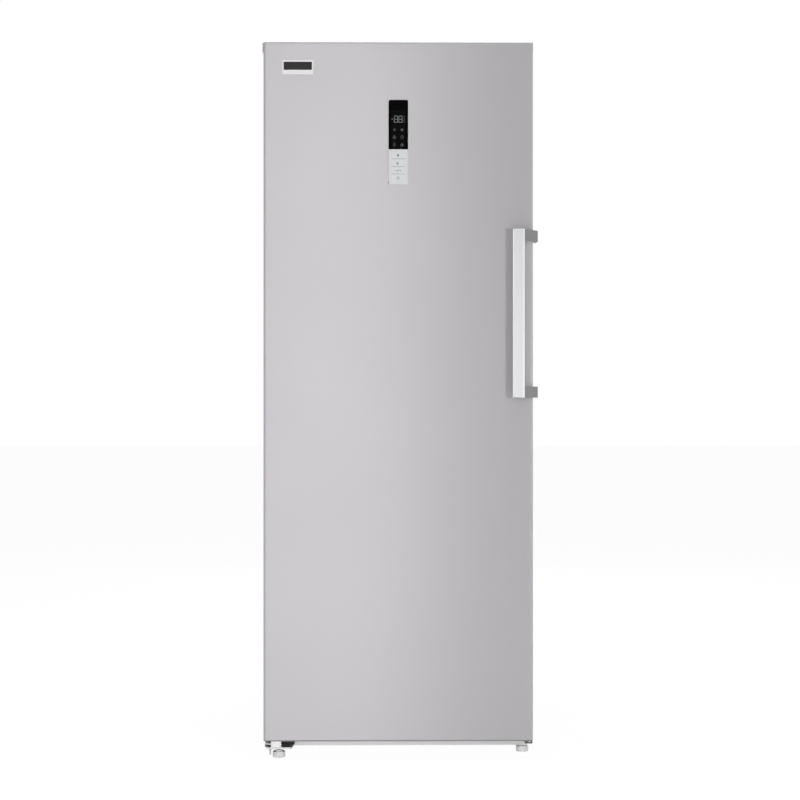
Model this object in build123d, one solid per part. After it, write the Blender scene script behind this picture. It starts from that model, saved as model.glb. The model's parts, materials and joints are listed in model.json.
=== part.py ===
from build123d import *
import math
import os

os.makedirs("parts", exist_ok=True)

# Upright no-frost freezer with one full-height door, in millimetres.
# Shapes are drawn with x = 0 on the cabinet's centre plane, y = 0 on its front flange
# (the door is at negative y) and z = 0 on the floor. save() moves them to the part's own
# frame, whose origin is at the middle of the overall box, on the floor.

# ---------------------------------------------------------------- clearances
SEAT = 0.3  # between pieces that rest or slide on each other
PIN_GAP = 0.3  # round a pin, shaft or screw

# ---------------------------------------------------------------- cabinet
CABINET_WIDTH = 700.0
CABINET_DEPTH = 640.0
CABINET_TOP = 1842.0
UNDERSIDE = 30.0  # cabinet's underside above the floor
SHEET = 1.0  # steel sheet
BEND = 5.0  # outer bend of the wrap's top corners
PRESSED_WIDTH = 100.0  # shallow pressing in the top that seats the hinge bracket
PRESSED_DEPTH = 98.0
PRESSED_SINK = 0.5
SIDE_WALL = 62.0  # outside of the wrap to inside of the liner
TOP_WALL = 60.0
REAR_WALL = 66.0
FLOOR_WALL = 68.0
FRONT_FLANGE = 42.0
LINER = 2.0
LINER_RADIUS = 16.0
MACHINE_DEPTH = 235.0
MACHINE_HEIGHT = 255.0
STEP_WALL = 54.0  # insulation between machine compartment and cavity

HALF = CABINET_WIDTH / 2
INNER_HALF = HALF - SHEET
CAVITY_HALF = HALF - SIDE_WALL
CAVITY_FLOOR = UNDERSIDE + FLOOR_WALL
CAVITY_TOP = CABINET_TOP - TOP_WALL
CAVITY_REAR = CABINET_DEPTH - REAR_WALL
MACHINE_FRONT = CABINET_DEPTH - MACHINE_DEPTH
MACHINE_TOP = UNDERSIDE + MACHINE_HEIGHT
STEP_FRONT = MACHINE_FRONT - STEP_WALL
STEP_TOP = MACHINE_TOP + STEP_WALL
PRESSED_RIGHT = -HALF + PRESSED_WIDTH
HINGE_BASE = CABINET_TOP - PRESSED_SINK

# ---------------------------------------------------------------- base
RAIL_BOTTOM = 22.0
RAIL_TOP = 90.0
RAIL_FOOT_LEG = 60.0  # depth of the rail's bottom leg
RAIL_NOTCH_TOP = 32.0  # notch under the right corner
RAIL_NOTCH = 9.0  # from the cabinet's right side
PAN_SHEET = 1.5
PAN_OVERLAP = 55.0  # pan under the bottom plate
PAN_LIP = 12.0
FOOT_RADIUS = 16.5
FOOT_NECK = 9.0
FOOT_PAD = 15.0
FOOT_HEIGHT = 20.0
FOOT_BEVEL = 1.5
FOOT_SHOULDER = 0.8
FOOT_WALL = 2.4  # rim round the cup in the foot's top
FOOT_CUP = 5.0
STEM_RADIUS = 5.0
STEM_BEVEL = 1.0
STEM_ABOVE_PLATE = 10.0
LEFT_FOOT_INSET = 38.5  # from the cabinet's left side
LEFT_FOOT_FORWARD = 35.0  # in front of the cabinet's flange
RIGHT_FOOT_INSET = 20.2
RIGHT_FOOT_BACK = 33.0
ROLLER_RADIUS = 13.0
ROLLER_WIDTH = 18.0
ROLLER_INSET = 50.0  # from the cabinet's side
ROLLER_FROM_REAR = 45.0
ROLLER_SHOULDER = (2.0, 3.0)  # radial and axial
AXLE_RADIUS = 3.0
AXLE_HEAD = 1.5
AXLE_HEAD_RADIUS = 4.0
ROLLER_TAB = 1.5
ROLLER_TAB_HALF = 6.0

ROLLER_Y = CABINET_DEPTH - ROLLER_FROM_REAR

# ---------------------------------------------------------------- door
DOOR_BOTTOM = 48.0
DOOR_ABOVE = 18.0  # door's top above the cabinet's
DOOR_THICKNESS = 60.0
DOOR_GAP = 12.0  # door's rear face to the cabinet's flange
SKIN = 1.0
SKIN_BEND = 6.0
SKIN_RETURN = 14.0
DOOR_LINER = 2.0
CAP_HEIGHT = 25.0  # top cap's cheeks
CAP_WALL = 3.0
CAP_FLOOR_SHEET = 4.0
ARM_RECESS_WIDTH = 80.0
ARM_RECESS_DEPTH = 20.0  # below the door's top
LEFT_CHEEK = 2.5  # cheek proud of the skin
RIGHT_CHEEK = 0.5
BOTTOM_CAP = 6.0
CORNER_FOOT = (20.0, 20.0, 9.3)  # small foot under the right corner
CORNER_FOOT_ROUND = 2.0
CAP_LIP_BEVEL = 2.5
TOP_LIP = 3.5  # crown of the top cap above the skin
TOP_LIP_BEVEL = 0.8
BOTTOM_LIP_RISE = 2.0  # rim of the bottom cap above and below the cap's underside
BOTTOM_LIP_DROP = 1.5
BOTTOM_LIP_SIDE = 3.0  # rim's width along the sides
BOTTOM_LIP_BEVEL = 2.2
GASKET_INSET = 17.0
GASKET_WIDTH = 20.0
GASKET_BASE = 2.5
GASKET_WALL = 1.5
GASKET_HEAD = 2.7
PANEL_RAISE = 20.0  # raised field of the door liner
PANEL_LEFT_INSET = 120.0
PANEL_RIGHT_INSET = 80.0
PANEL_END_INSET = 90.0
PANEL_SLOPE = 14.0
PANEL_CORNER = 20.0

DOOR_TOP = CABINET_TOP + DOOR_ABOVE
DOOR_REAR = -DOOR_GAP
DOOR_FRONT = DOOR_REAR - DOOR_THICKNESS
SKIN_BACK = DOOR_FRONT + SKIN  # inner face of the front sheet
LINER_FRONT = DOOR_REAR - DOOR_LINER
CAP_FLOOR = DOOR_TOP - ARM_RECESS_DEPTH

# ---------------------------------------------------------------- hinges
HINGE_INSET = 16.0  # axis from the door's left side
HINGE_BACK = 30.0  # axis behind the door's front face
HINGE_PIN = 5.0
HINGE_ARM = 11.0  # half width of the upper arm
HINGE_PLATE = 3.5
LOWER_PLATE = 5.0
LOWER_PLATE_TOP = 30.5
LOWER_PLATE_WIDTH = 76.5
LOWER_PLATE_REACH = 66.0
LOWER_FLANGE_TOP = 46.0
PIN_DEPTH = 24.0  # pin inside its bush
BUSH_WALL = 3.0
BUSH_END = 2.0  # bush's length past the pin
BUSH_FLANGE = 1.0
BOSS_WALL = 3.0
CLOSER_WIDTH = 27.0
CLOSER_HEIGHT = 15.5
CLOSER_DEPTH = 20.0
COVER_WIDTH = 90.0
COVER_DEPTH = 98.0
COVER_HEIGHT = 15.0
COVER_WALL = 2.0
COVER_FRONT = -6.0
COVER_CORNER = 10.0
COVER_BEVEL = 3.0
COVER_MOUTH = 12.0
PLATE_ROUND = 8.0
RIVET = (6.0, 2.0)  # radius and height
LOWER_PLATE_ROUND = 4.0
LOWER_PLATE_SHOULDER = 30.0  # full width up to here in front of the cabinet
LOWER_PLATE_TAPER = (12.0, 5.0)  # narrowing of its left and right edges
NUT_RADIUS = 6.5
STUD = (2.5, 18.5)  # radius and length under the plate
CLOSER_FORWARD = 24.0  # block's front before the axis
CLOSER_ASIDE = 3.0  # block's left side from the axis
CLOSER_CORNER = 2.5
CLOSER_COLLAR = (13.4, 2.5, 4.5)  # radius, height and rise above the plate
BRACKET_WIDTH = 78.0
BRACKET_FRONT = 12.0
BRACKET_DEPTH = 70.0

HINGE_X = -HALF + HINGE_INSET
HINGE_Y = DOOR_FRONT + HINGE_BACK
BUSH_BORE = HINGE_PIN + PIN_GAP
BUSH_RADIUS = BUSH_BORE + BUSH_WALL
BUSH_SOCKET = BUSH_RADIUS + PIN_GAP / 2
BOSS_RADIUS = BUSH_RADIUS + BOSS_WALL

# ---------------------------------------------------------------- handle
HANDLE_BOTTOM = 938.0
HANDLE_LENGTH = 434.0
HANDLE_WIDTH = 31.0
HANDLE_PROUD = 46.0  # bar's front before the door's front
HANDLE_THICK = 12.0
HANDLE_EDGE = 25.2  # bar's right edge inside the door's right side
BAR_CORNER = 3.0
BAR_END_BEVEL = 1.2
ARM_ROOT = 6.0  # arm's edge from the bar's left edge
ARM_INNER = 4.0  # inner bend from the bar's right edge
ARM_CORNER_FRONT = 6.0  # inner bend before the door's front
ARM_CORNER_BACK = 2.0  # outer bend behind the door's front
ARM_ROUND = 2.5
ARM_BEVEL = 1.0
ARM_SCREW_BACK = 26.4  # screws behind the door's front
ARM_SCREW_SINK = 3.0
ARM_HEIGHT = 29.0
ARM_THICK = 12.3
ARM_LEG = 44.0  # leg along the door's side
HANDLE_SCREW = 2.0
HANDLE_SCREW_HEAD = 3.7
HANDLE_SCREW_SPREAD = 8.0

# ---------------------------------------------------------------- display and keys
DISPLAY_WIDTH = 50.6
DISPLAY_HEIGHT = 128.0
DISPLAY_DROP = 149.6  # below the door's top
GLASS = 1.2
GLASS_CORNER = 5.0
KEY_FRAME_WIDTH = 48.0
KEY_FRAME_HEIGHT = 90.0
KEY_FRAME_SHEET = 1.0
KEY_COUNT = 4
KEY_WIDTH = 36.0
KEY_HEIGHT = 18.4
KEY_PITCH = 19.6
KEY_DROP = 5.5  # first key below the frame's top
KEY_PROUD = 0.6
KEY_TRAVEL = 0.6
KEY_EAR = 1.5
KEY_EAR_SHEET = 1.0
KEY_STEM = 2.5
FRAME_CORNER = 1.5
HOUSING_HALF = 24.0
HOUSING_WALL = 1.5
HOUSING_DEPTH = 13.0
HOUSING_MARGIN = 3.0
BOARD_SHEET = 1.6
BOARD_BACK = 6.0  # board's front behind the skin's inner face
POST_RADIUS = 2.0
POST_INSET = (6.0, 9.0)  # from the housing's side and from its end
BADGE_WIDTH = 80.0
BADGE_HEIGHT = 36.5
BADGE_SHEET = 1.5
BADGE_LEFT = 49.3
BADGE_DROP = 47.2
BADGE_FIELD = (74.0, 21.5, 0.5)
BADGE_FIELD_DROP = 3.8
BADGE_CORNER = 2.0

# ---------------------------------------------------------------- interior
DRAWER_COUNT = 5
LOWEST_ROOM = 254.0  # cavity's floor to the lowest shelf
MIDDLE_ROOM = 182.0  # between the two highest shelves
HIGHEST_ROOM = 176.0  # highest shelf to the cavity's top
GLASS_SHELF = 4.0
SHELF_FRONT = 26.0
SHELF_SIDE_GAP = 1.5
TRIM_FRONT = 4.0
TRIM_LEG = 16.0
TRIM_SHEET = 3.0
RIB_REACH = 8.0
RIB_HEIGHT = 10.0
RIB_FRONT = 46.0
DUCT_DEPTH = 62.0
DUCT_SHEET = 3.0
SHELF_REAR_GAP = 4.0
SLOT_WIDTH = 60.0
SLOT_HEIGHT = 8.0
SLOT_COUNT = 5
SLOT_PITCH = 84.0
SLOT_ABOVE_SHELF = 160.0
FAN_HEIGHT = 740.0
FAN_RADIUS = 54.0
FAN_HUB = 17.0
FAN_DEPTH = 16.0
HUB_END = 3.0  # closed end of the hub's bore
FAN_BLADES = 5
FAN_RING_GAP = 4.0
FAN_NOSE = 2.0
BLADE_SINK = 3.0  # blade's root inside the hub
BLADE_ROOT = (20.8, 2.0, 50.0)  # chord, thickness and pitch in degrees
BLADE_TIP = (32.0, 1.6, 22.0)
GUARD_BAR = 4.0
GUARD_RING = 36.0
GUARD_STEP = 60  # degrees between the guard's bars
SHAFT_RADIUS = 2.0
DRAWER_FRONT = 28.0
DRAWER_SIDE_GAP = 8.0
DRAWER_FRONT_SHEET = 5.0
TUB_INSET = 14.0  # tub inside the drawer's front, at its rim
TUB_DRAFT = 10.0  # each side, from rim to floor
TUB_RADIUS = 14.0
TUB_WALL = 2.5
TUB_RIM = 6.0
DRAWER_HEADROOM = 22.0  # drawer's top below the shelf above
DRAWER_REAR_GAP = 12.0
GRIP_WIDTH = 170.0
GRIP_DEPTH = 26.0
GRIP_CORNER = 18.0
RUNNER = (8.0, 2.0)
RUNNER_INSET = 66.0  # from the tub's floor edge
LENS_SIZE = (120.0, 60.0, 6.0)
LENS_FRONT = 60.0

LOWEST_SHELF = CAVITY_FLOOR + LOWEST_ROOM
HIGHEST_SHELF = CAVITY_TOP - HIGHEST_ROOM
DRAWER_PITCH = (HIGHEST_SHELF - MIDDLE_ROOM - LOWEST_SHELF) / (DRAWER_COUNT - 1)
SHELF_LEVELS = [LOWEST_SHELF + k * DRAWER_PITCH for k in range(DRAWER_COUNT)] + [HIGHEST_SHELF]
DRAWER_HALF = CAVITY_HALF - DRAWER_SIDE_GAP
TUB_TOP_HALF = DRAWER_HALF - TUB_INSET
TUB_BOTTOM_HALF = TUB_TOP_HALF - TUB_DRAFT
RUNNER_SPREAD = TUB_BOTTOM_HALF - RUNNER_INSET

DUCT_FRONT = CAVITY_REAR - DUCT_DEPTH
DUCT_BACK = DUCT_FRONT + DUCT_SHEET
SHELF_REAR = DUCT_FRONT - SHELF_REAR_GAP

# ---------------------------------------------------------------- cold and warm side
COIL_TUBE = 4.0
COIL_PASSES = 6
COIL_PITCH = 40.0
COIL_SIDE_GAP = 73.0  # from the cavity's side to the end of the level passes
COIL_BOTTOM = 410.0
FIN_COUNT = 16
FIN_INSET = 12.5  # end fins inside the level passes
FIN_SHEET = 0.8
FIN_DEPTH = 36.0
FIN_MARGIN = 14.0
HEATER_TUBE = 3.5
HEATER_DROP = 32.0
HEATER_INSET = 10.0  # heater's ends inside the level passes
HEATER_CLIP = 3.0
HEATER_CLIP_INSET = 9.0
MOTOR_RADIUS = 21.0
MOTOR_DEPTH = 28.0
MOTOR_GAP = 1.2  # between a motor and its fan wheel
MOTOR_PLATE = (90.0, 30.0, 3.0)
COMPRESSOR_INSET = 180.0  # axis from the cabinet's left side
COMPRESSOR_RADIUS = 74.0
COMPRESSOR_WALL_INSET = 2.0  # shell inside the seam's rim
COMPRESSOR_FOOT = 15.0  # bevel under the shell
COMPRESSOR_HEIGHT = 160.0
COMPRESSOR_SHOULDER = 115.0
COMPRESSOR_SEAM = (80.0, 6.0)  # height and thickness of the welded rim
COMPRESSOR_PLATE = (190.0, 120.0, 3.0)
PLATE_CORNER = 8.0
MOUNT_RADIUS = 10.0
MOUNT_HEIGHT = 12.0
MOUNT_INSET = 13.0
MOUNT_HOLE = 4.0
MOUNT_LIP = (1.5, 2.0)  # height and width over the neck
TERMINAL_BOX = (34.0, 60.0, 55.0)
TERMINAL_SINK = 8.0  # box let into the shell
STUB_RADIUS = 3.0
STUB_SPREAD = 22.0
STUB_BACK = 20.0
STUB_ROOT = 128.0
STUB_TOP = 203.0
CONDENSER_TUBE = 3.0
CONDENSER_PASSES = 7
CONDENSER_PITCH = 24.0
CONDENSER_HALF = 105.0
CONDENSER_INSET = 150.0  # middle from the cabinet's right side
CONDENSER_BOTTOM = 84.0
CONDENSER_PLATE = 1.0
CONDENSER_PLATE_DEPTH = 60.0
CONDENSER_PLATE_MARGIN = 12.0
COOLING_FAN_X = 8.0
COOLING_FAN_RADIUS = 62.0
COOLING_FAN_HEIGHT = 135.0
SHROUD_SHEET = 3.0
SHROUD_HALF = 80.0
TRAY_WALL = 2.0
TRAY_HEIGHT = 26.0
TRAY_DEPTH = 150.0
LOUVRE_COLUMNS = 3
LOUVRE_ROWS = 7
LOUVRE_WIDTH = 150.0
LOUVRE_HEIGHT = 7.0
LOUVRE_PITCH = 24.0
LOUVRE_COLUMN_PITCH = 195.0
LOUVRE_BOTTOM = 80.0
LOUVRE_HOOD = 5.0
LOUVRE_LIP = 1.5  # thickness of a hood
GLAND_RADIUS = 7.0
GLAND_FLANGE = (10.0, 2.0)
GLAND_BORE = 3.5
GLAND_INSET = 32.0  # from the cabinet's side
GLAND_ABOVE = 26.0  # above the cabinet's underside
GLAND_REACH = (6.0, 4.0)  # inwards and outwards of the cover
SCREW_HEAD = 5.0
SCREW_HEAD_HEIGHT = 2.2
SCREW_NECK = 2.5
SCREW_HOLE = SCREW_NECK + PIN_GAP / 2

MACHINE_MIDDLE = CABINET_DEPTH - MACHINE_DEPTH / 2
COIL_HALF = CAVITY_HALF - COIL_SIDE_GAP
FIN_PITCH = 2 * (COIL_HALF - FIN_INSET) / (FIN_COUNT - 1)
HEATER_HALF = COIL_HALF - HEATER_INSET
COMPRESSOR_X = -HALF + COMPRESSOR_INSET
CONDENSER_X = HALF - CONDENSER_INSET
GLAND_X = HALF - GLAND_INSET
GLAND_Z = UNDERSIDE + GLAND_ABOVE

# ---------------------------------------------------------------- overall box and origin
LEFT_REACH = HALF + LEFT_CHEEK
RIGHT_REACH = HALF + SEAT + ARM_THICK
FRONT_REACH = -DOOR_FRONT + HANDLE_PROUD
REAR_REACH = CABINET_DEPTH + LOUVRE_HOOD
ORIGIN_SHIFT = Pos((LEFT_REACH - RIGHT_REACH) / 2, (FRONT_REACH - REAR_REACH) / 2, 0)


# ---------------------------------------------------------------- helpers
def block(x0, x1, y0, y1, z0, z1):
    """A box between three pairs of planes."""
    return Pos((x0 + x1) / 2, (y0 + y1) / 2, (z0 + z1) / 2) * Box(x1 - x0, y1 - y0, z1 - z0)


def face_of(points):
    """A face inside a closed run of straight lines."""
    return make_face(Polyline(*points, close=True))


def along_x(face, x0, x1):
    """Extrudes a face drawn in (y, z) between two x planes."""
    plane = Plane(origin=(x0, 0, 0), x_dir=(0, 1, 0), z_dir=(1, 0, 0))
    return extrude(plane * face, amount=x1 - x0, dir=(1, 0, 0))


def along_y(face, y0, y1):
    """Extrudes a face drawn in (x, z) between two y planes."""
    plane = Plane(origin=(0, y0, 0), x_dir=(1, 0, 0), z_dir=(0, -1, 0))
    return extrude(plane * face, amount=y1 - y0, dir=(0, 1, 0))


def along_z(face, z0, z1):
    """Extrudes a face drawn in (x, y) between two z planes."""
    return extrude(Pos(0, 0, z0) * face, amount=z1 - z0, dir=(0, 0, 1))


def rod_x(x0, x1, y, z, radius):
    return Pos((x0 + x1) / 2, y, z) * Rot(0, 90, 0) * Cylinder(radius, x1 - x0)


def rod_y(x, y0, y1, z, radius):
    return Pos(x, (y0 + y1) / 2, z) * Rot(90, 0, 0) * Cylinder(radius, y1 - y0)


def rod_z(x, y, z0, z1, radius):
    return Pos(x, y, (z0 + z1) / 2) * Cylinder(radius, z1 - z0)


def arch(half, y0, y1, z0, z1, radius):
    """A block whose two upper long edges are rounded."""
    body = block(-half, half, y0, y1, z0, z1)
    return fillet(body.edges().filter_by(Axis.Y).group_by(Axis.Z)[-1], radius)


def ring(half, z0, z1, width, y0, y1):
    """A flat rectangular ring, as wide as given, in the plane of the door."""
    outer = block(-half, half, y0, y1, z0, z1)
    return outer - block(-half + width, half - width, y0, y1, z0 + width, z1 - width)


def group(pieces):
    """Separate solids kept as one node."""
    return Compound([solid for piece in pieces for solid in piece.solids()])


def save(name, shape):
    export_step(ORIGIN_SHIFT * shape, f"parts/{name}.step")


# ---------------------------------------------------------------- cabinet shell
def outer_wrap():
    shell = arch(HALF, 0, CABINET_DEPTH, UNDERSIDE, CABINET_TOP, BEND)
    shell -= arch(
        INNER_HALF, -1, CABINET_DEPTH + 1, UNDERSIDE - 1, CABINET_TOP - SHEET, BEND - SHEET
    )
    flange = arch(INNER_HALF, 0, SHEET, RAIL_TOP, CABINET_TOP - SHEET, BEND - SHEET)
    opening = HALF - FRONT_FLANGE
    flange -= block(-opening, opening, -1, SHEET + 1, RAIL_TOP - 1, CABINET_TOP - FRONT_FLANGE)
    shell += flange + pressed_sheet(INNER_HALF)
    return shell - block(-HALF, PRESSED_RIGHT, 0, PRESSED_DEPTH, HINGE_BASE, CABINET_TOP)


def pressed_sheet(half):
    """What the pressing for the hinge bracket pushes down below the top sheet."""
    under = CABINET_TOP - SHEET
    right = PRESSED_RIGHT + SHEET
    return block(-half, right, 0, PRESSED_DEPTH + SHEET, under - PRESSED_SINK, under)


def back_panel():
    panel = arch(
        INNER_HALF, CABINET_DEPTH - SHEET, CABINET_DEPTH, MACHINE_TOP, CABINET_TOP - SHEET, BEND
    )
    return panel


def bottom_plate():
    """One bent sheet: floor of the insulated box, then up and back over the machine compartment."""
    rear = CABINET_DEPTH - SHEET
    corner = MACHINE_FRONT + SHEET
    outline = face_of(
        [
            (SHEET, UNDERSIDE),
            (corner, UNDERSIDE),
            (corner, MACHINE_TOP),
            (rear, MACHINE_TOP),
            (rear, MACHINE_TOP + SHEET),
            (MACHINE_FRONT, MACHINE_TOP + SHEET),
            (MACHINE_FRONT, UNDERSIDE + SHEET),
            (SHEET, UNDERSIDE + SHEET),
        ]
    )
    return along_x(outline, -INNER_HALF, INNER_HALF)


def cavity_outline(front, grow):
    """Side view of the cavity, grown outwards by the given amount."""
    return face_of(
        [
            (front, CAVITY_FLOOR - grow),
            (STEP_FRONT + grow, CAVITY_FLOOR - grow),
            (STEP_FRONT + grow, STEP_TOP - grow),
            (CAVITY_REAR + grow, STEP_TOP - grow),
            (CAVITY_REAR + grow, CAVITY_TOP + grow),
            (front, CAVITY_TOP + grow),
        ]
    )


def liner_box(front):
    half = CAVITY_HALF + LINER
    return along_x(cavity_outline(front, LINER), -half, half)


def cabinet_foam():
    front = SHEET + LINER
    foam = block(
        -INNER_HALF, INNER_HALF, front, CABINET_DEPTH - SHEET, UNDERSIDE + SHEET, CABINET_TOP - SHEET
    )
    foam = chamfer(foam.edges().filter_by(Axis.Y).group_by(Axis.Z)[-1], BEND)
    foam -= block(
        -HALF, HALF, MACHINE_FRONT, CABINET_DEPTH, UNDERSIDE, MACHINE_TOP + SHEET
    )
    return foam - liner_box(front) - pressed_sheet(HALF)


def inner_liner():
    lip = block(
        -INNER_HALF, INNER_HALF, SHEET, SHEET + LINER, UNDERSIDE + SHEET, CABINET_TOP - SHEET
    )
    lip = chamfer(lip.edges().filter_by(Axis.Y).group_by(Axis.Z)[-1], BEND) - pressed_sheet(HALF)
    cavity = along_x(cavity_outline(0, 0), -CAVITY_HALF, CAVITY_HALF)
    rounded = cavity.edges().filter_by(lambda edge: edge.center().Y > SHEET)
    cavity = fillet(rounded, LINER_RADIUS)
    liner = liner_box(SHEET) + lip - cavity
    for level in SHELF_LEVELS:
        liner += shelf_rib(level)
        liner += mirror(shelf_rib(level), about=Plane.YZ)
    return liner


def shelf_rib(level):
    """Rib moulded in the liner's side, with a sloping underside."""
    inner = CAVITY_HALF - RIB_REACH
    outline = face_of(
        [
            (CAVITY_HALF, level),
            (inner, level),
            (inner, level - RIB_HEIGHT / 2),
            (CAVITY_HALF, level - RIB_HEIGHT),
        ]
    )
    return along_y(outline, RIB_FRONT, SHELF_REAR)


def base_front_rail():
    outline = face_of(
        [
            (0, RAIL_BOTTOM),
            (RAIL_FOOT_LEG, RAIL_BOTTOM),
            (RAIL_FOOT_LEG, RAIL_BOTTOM + SHEET),
            (SHEET, RAIL_BOTTOM + SHEET),
            (SHEET, RAIL_TOP - SEAT),
            (0, RAIL_TOP - SEAT),
        ]
    )
    rail = along_x(outline, -INNER_HALF, INNER_HALF)
    deep = RAIL_FOOT_LEG + 1
    rail -= block(HALF - RAIL_NOTCH, HALF, -1, deep, RAIL_BOTTOM - 1, RAIL_NOTCH_TOP)
    x, y = right_foot_place()
    return rail - rod_z(x, y, RAIL_BOTTOM - 1, RAIL_BOTTOM + SHEET + 1, STEM_RADIUS + PIN_GAP)


def base_pan():
    """Floor of the machine compartment, with a rear lip, roller tabs and holes for the mounts."""
    rear = CABINET_DEPTH - SHEET
    top = UNDERSIDE
    bottom = top - PAN_SHEET
    pan = block(-INNER_HALF, INNER_HALF, MACHINE_FRONT - PAN_OVERLAP, rear, bottom, top)
    pan += block(-INNER_HALF, INNER_HALF, rear - PAN_SHEET, rear, bottom, top + PAN_LIP)
    for side in (-1, 1):
        for x0, x1 in roller_tabs(side):
            tab = block(
                x0,
                x1,
                ROLLER_Y - ROLLER_TAB_HALF,
                ROLLER_Y + ROLLER_TAB_HALF,
                ROLLER_RADIUS - ROLLER_TAB_HALF,
                bottom,
            )
            pan += tab - rod_x(x0 - 1, x1 + 1, ROLLER_Y, ROLLER_RADIUS, AXLE_RADIUS + PIN_GAP / 2)
    for x, y in mount_places():
        pan -= rod_z(x, y, bottom - 1, top + 1, MOUNT_HOLE)
    return pan


# ---------------------------------------------------------------- feet and rollers
def left_foot_place():
    return -HALF + LEFT_FOOT_INSET, -LEFT_FOOT_FORWARD


def right_foot_place():
    return HALF - RIGHT_FOOT_INSET, RIGHT_FOOT_BACK


def levelling_foot(x, y, stem_top):
    """Turned foot: cup with a bevelled rim, sleeve in its middle and screwed stem."""
    cup = FOOT_RADIUS - FOOT_WALL
    floor = FOOT_PAD - FOOT_CUP
    profile = Polyline(
        (0, 0),
        (FOOT_RADIUS - FOOT_BEVEL, 0),
        (FOOT_RADIUS, FOOT_BEVEL),
        (FOOT_RADIUS, FOOT_PAD - FOOT_SHOULDER),
        (FOOT_RADIUS - FOOT_SHOULDER, FOOT_PAD),
        (cup, FOOT_PAD),
        (cup, floor),
        (FOOT_NECK, floor),
        (FOOT_NECK, FOOT_HEIGHT),
        (STEM_RADIUS, FOOT_HEIGHT),
        (STEM_RADIUS, stem_top - STEM_BEVEL),
        (STEM_RADIUS - STEM_BEVEL, stem_top),
        (0, stem_top),
        close=True,
    )
    return Pos(x, y, 0) * revolve(Plane.XZ * make_face(profile), Axis.Z)


def left_foot():
    x, y = left_foot_place()
    return levelling_foot(x, y, LOWER_PLATE_TOP + STEM_ABOVE_PLATE)


def right_foot():
    x, y = right_foot_place()
    return levelling_foot(x, y, UNDERSIDE - SEAT)


def roller_middle(side):
    return side * (HALF - ROLLER_INSET)


def roller_tabs(side):
    """The x spans of the two tabs beside a roller."""
    inner = ROLLER_WIDTH / 2 + SEAT
    outer = inner + ROLLER_TAB
    middle = roller_middle(side)
    return [(middle - outer, middle - inner), (middle + inner, middle + outer)]


def roller(side):
    """Roller with rounded shoulders on a plain bore."""
    half = ROLLER_WIDTH / 2
    bore = AXLE_RADIUS + PIN_GAP
    radial, axial = ROLLER_SHOULDER
    profile = face_of(
        [
            (bore, -half),
            (ROLLER_RADIUS - radial, -half),
            (ROLLER_RADIUS, -half + axial),
            (ROLLER_RADIUS, half - axial),
            (ROLLER_RADIUS - radial, half),
            (bore, half),
        ]
    )
    turned = revolve(Plane.XZ * profile, Axis.Z)
    return Pos(roller_middle(side), ROLLER_Y, ROLLER_RADIUS) * Rot(0, 90, 0) * turned


def roller_axles():
    reach = ROLLER_WIDTH / 2 + SEAT + ROLLER_TAB
    axles = []
    for side in (-1, 1):
        middle = roller_middle(side)
        axles.append(rod_x(middle - reach, middle + reach, ROLLER_Y, ROLLER_RADIUS, AXLE_RADIUS))
        for end in (-1, 1):
            x0, x1 = sorted((middle + end * reach, middle + end * (reach + AXLE_HEAD)))
            axles[-1] += rod_x(x0, x1, ROLLER_Y, ROLLER_RADIUS, AXLE_HEAD_RADIUS)
    return group(axles)


# ---------------------------------------------------------------- interior
def glass_shelves():
    half = CAVITY_HALF - SHELF_SIDE_GAP
    return group(
        block(-half, half, SHELF_FRONT, SHELF_REAR, level + SEAT, level + SEAT + GLASS_SHELF)
        for level in SHELF_LEVELS
    )


def shelf_trims():
    """Front trims: a nose before each glass and a leg under it."""
    half = CAVITY_HALF - SHELF_SIDE_GAP
    trims = []
    for level in SHELF_LEVELS:
        under = level + SEAT
        outline = face_of(
            [
                (SHELF_FRONT, under + GLASS_SHELF),
                (SHELF_FRONT - TRIM_FRONT / 2, under + GLASS_SHELF),
                (SHELF_FRONT - TRIM_FRONT, under + GLASS_SHELF / 2),
                (SHELF_FRONT - TRIM_FRONT, under - TRIM_SHEET),
                (SHELF_FRONT + TRIM_LEG, under - TRIM_SHEET),
                (SHELF_FRONT + TRIM_LEG, under),
                (SHELF_FRONT, under),
            ]
        )
        trims.append(along_x(outline, -half, half))
    return group(trims)


def fan_centre():
    return (0, FAN_HEIGHT)


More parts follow.
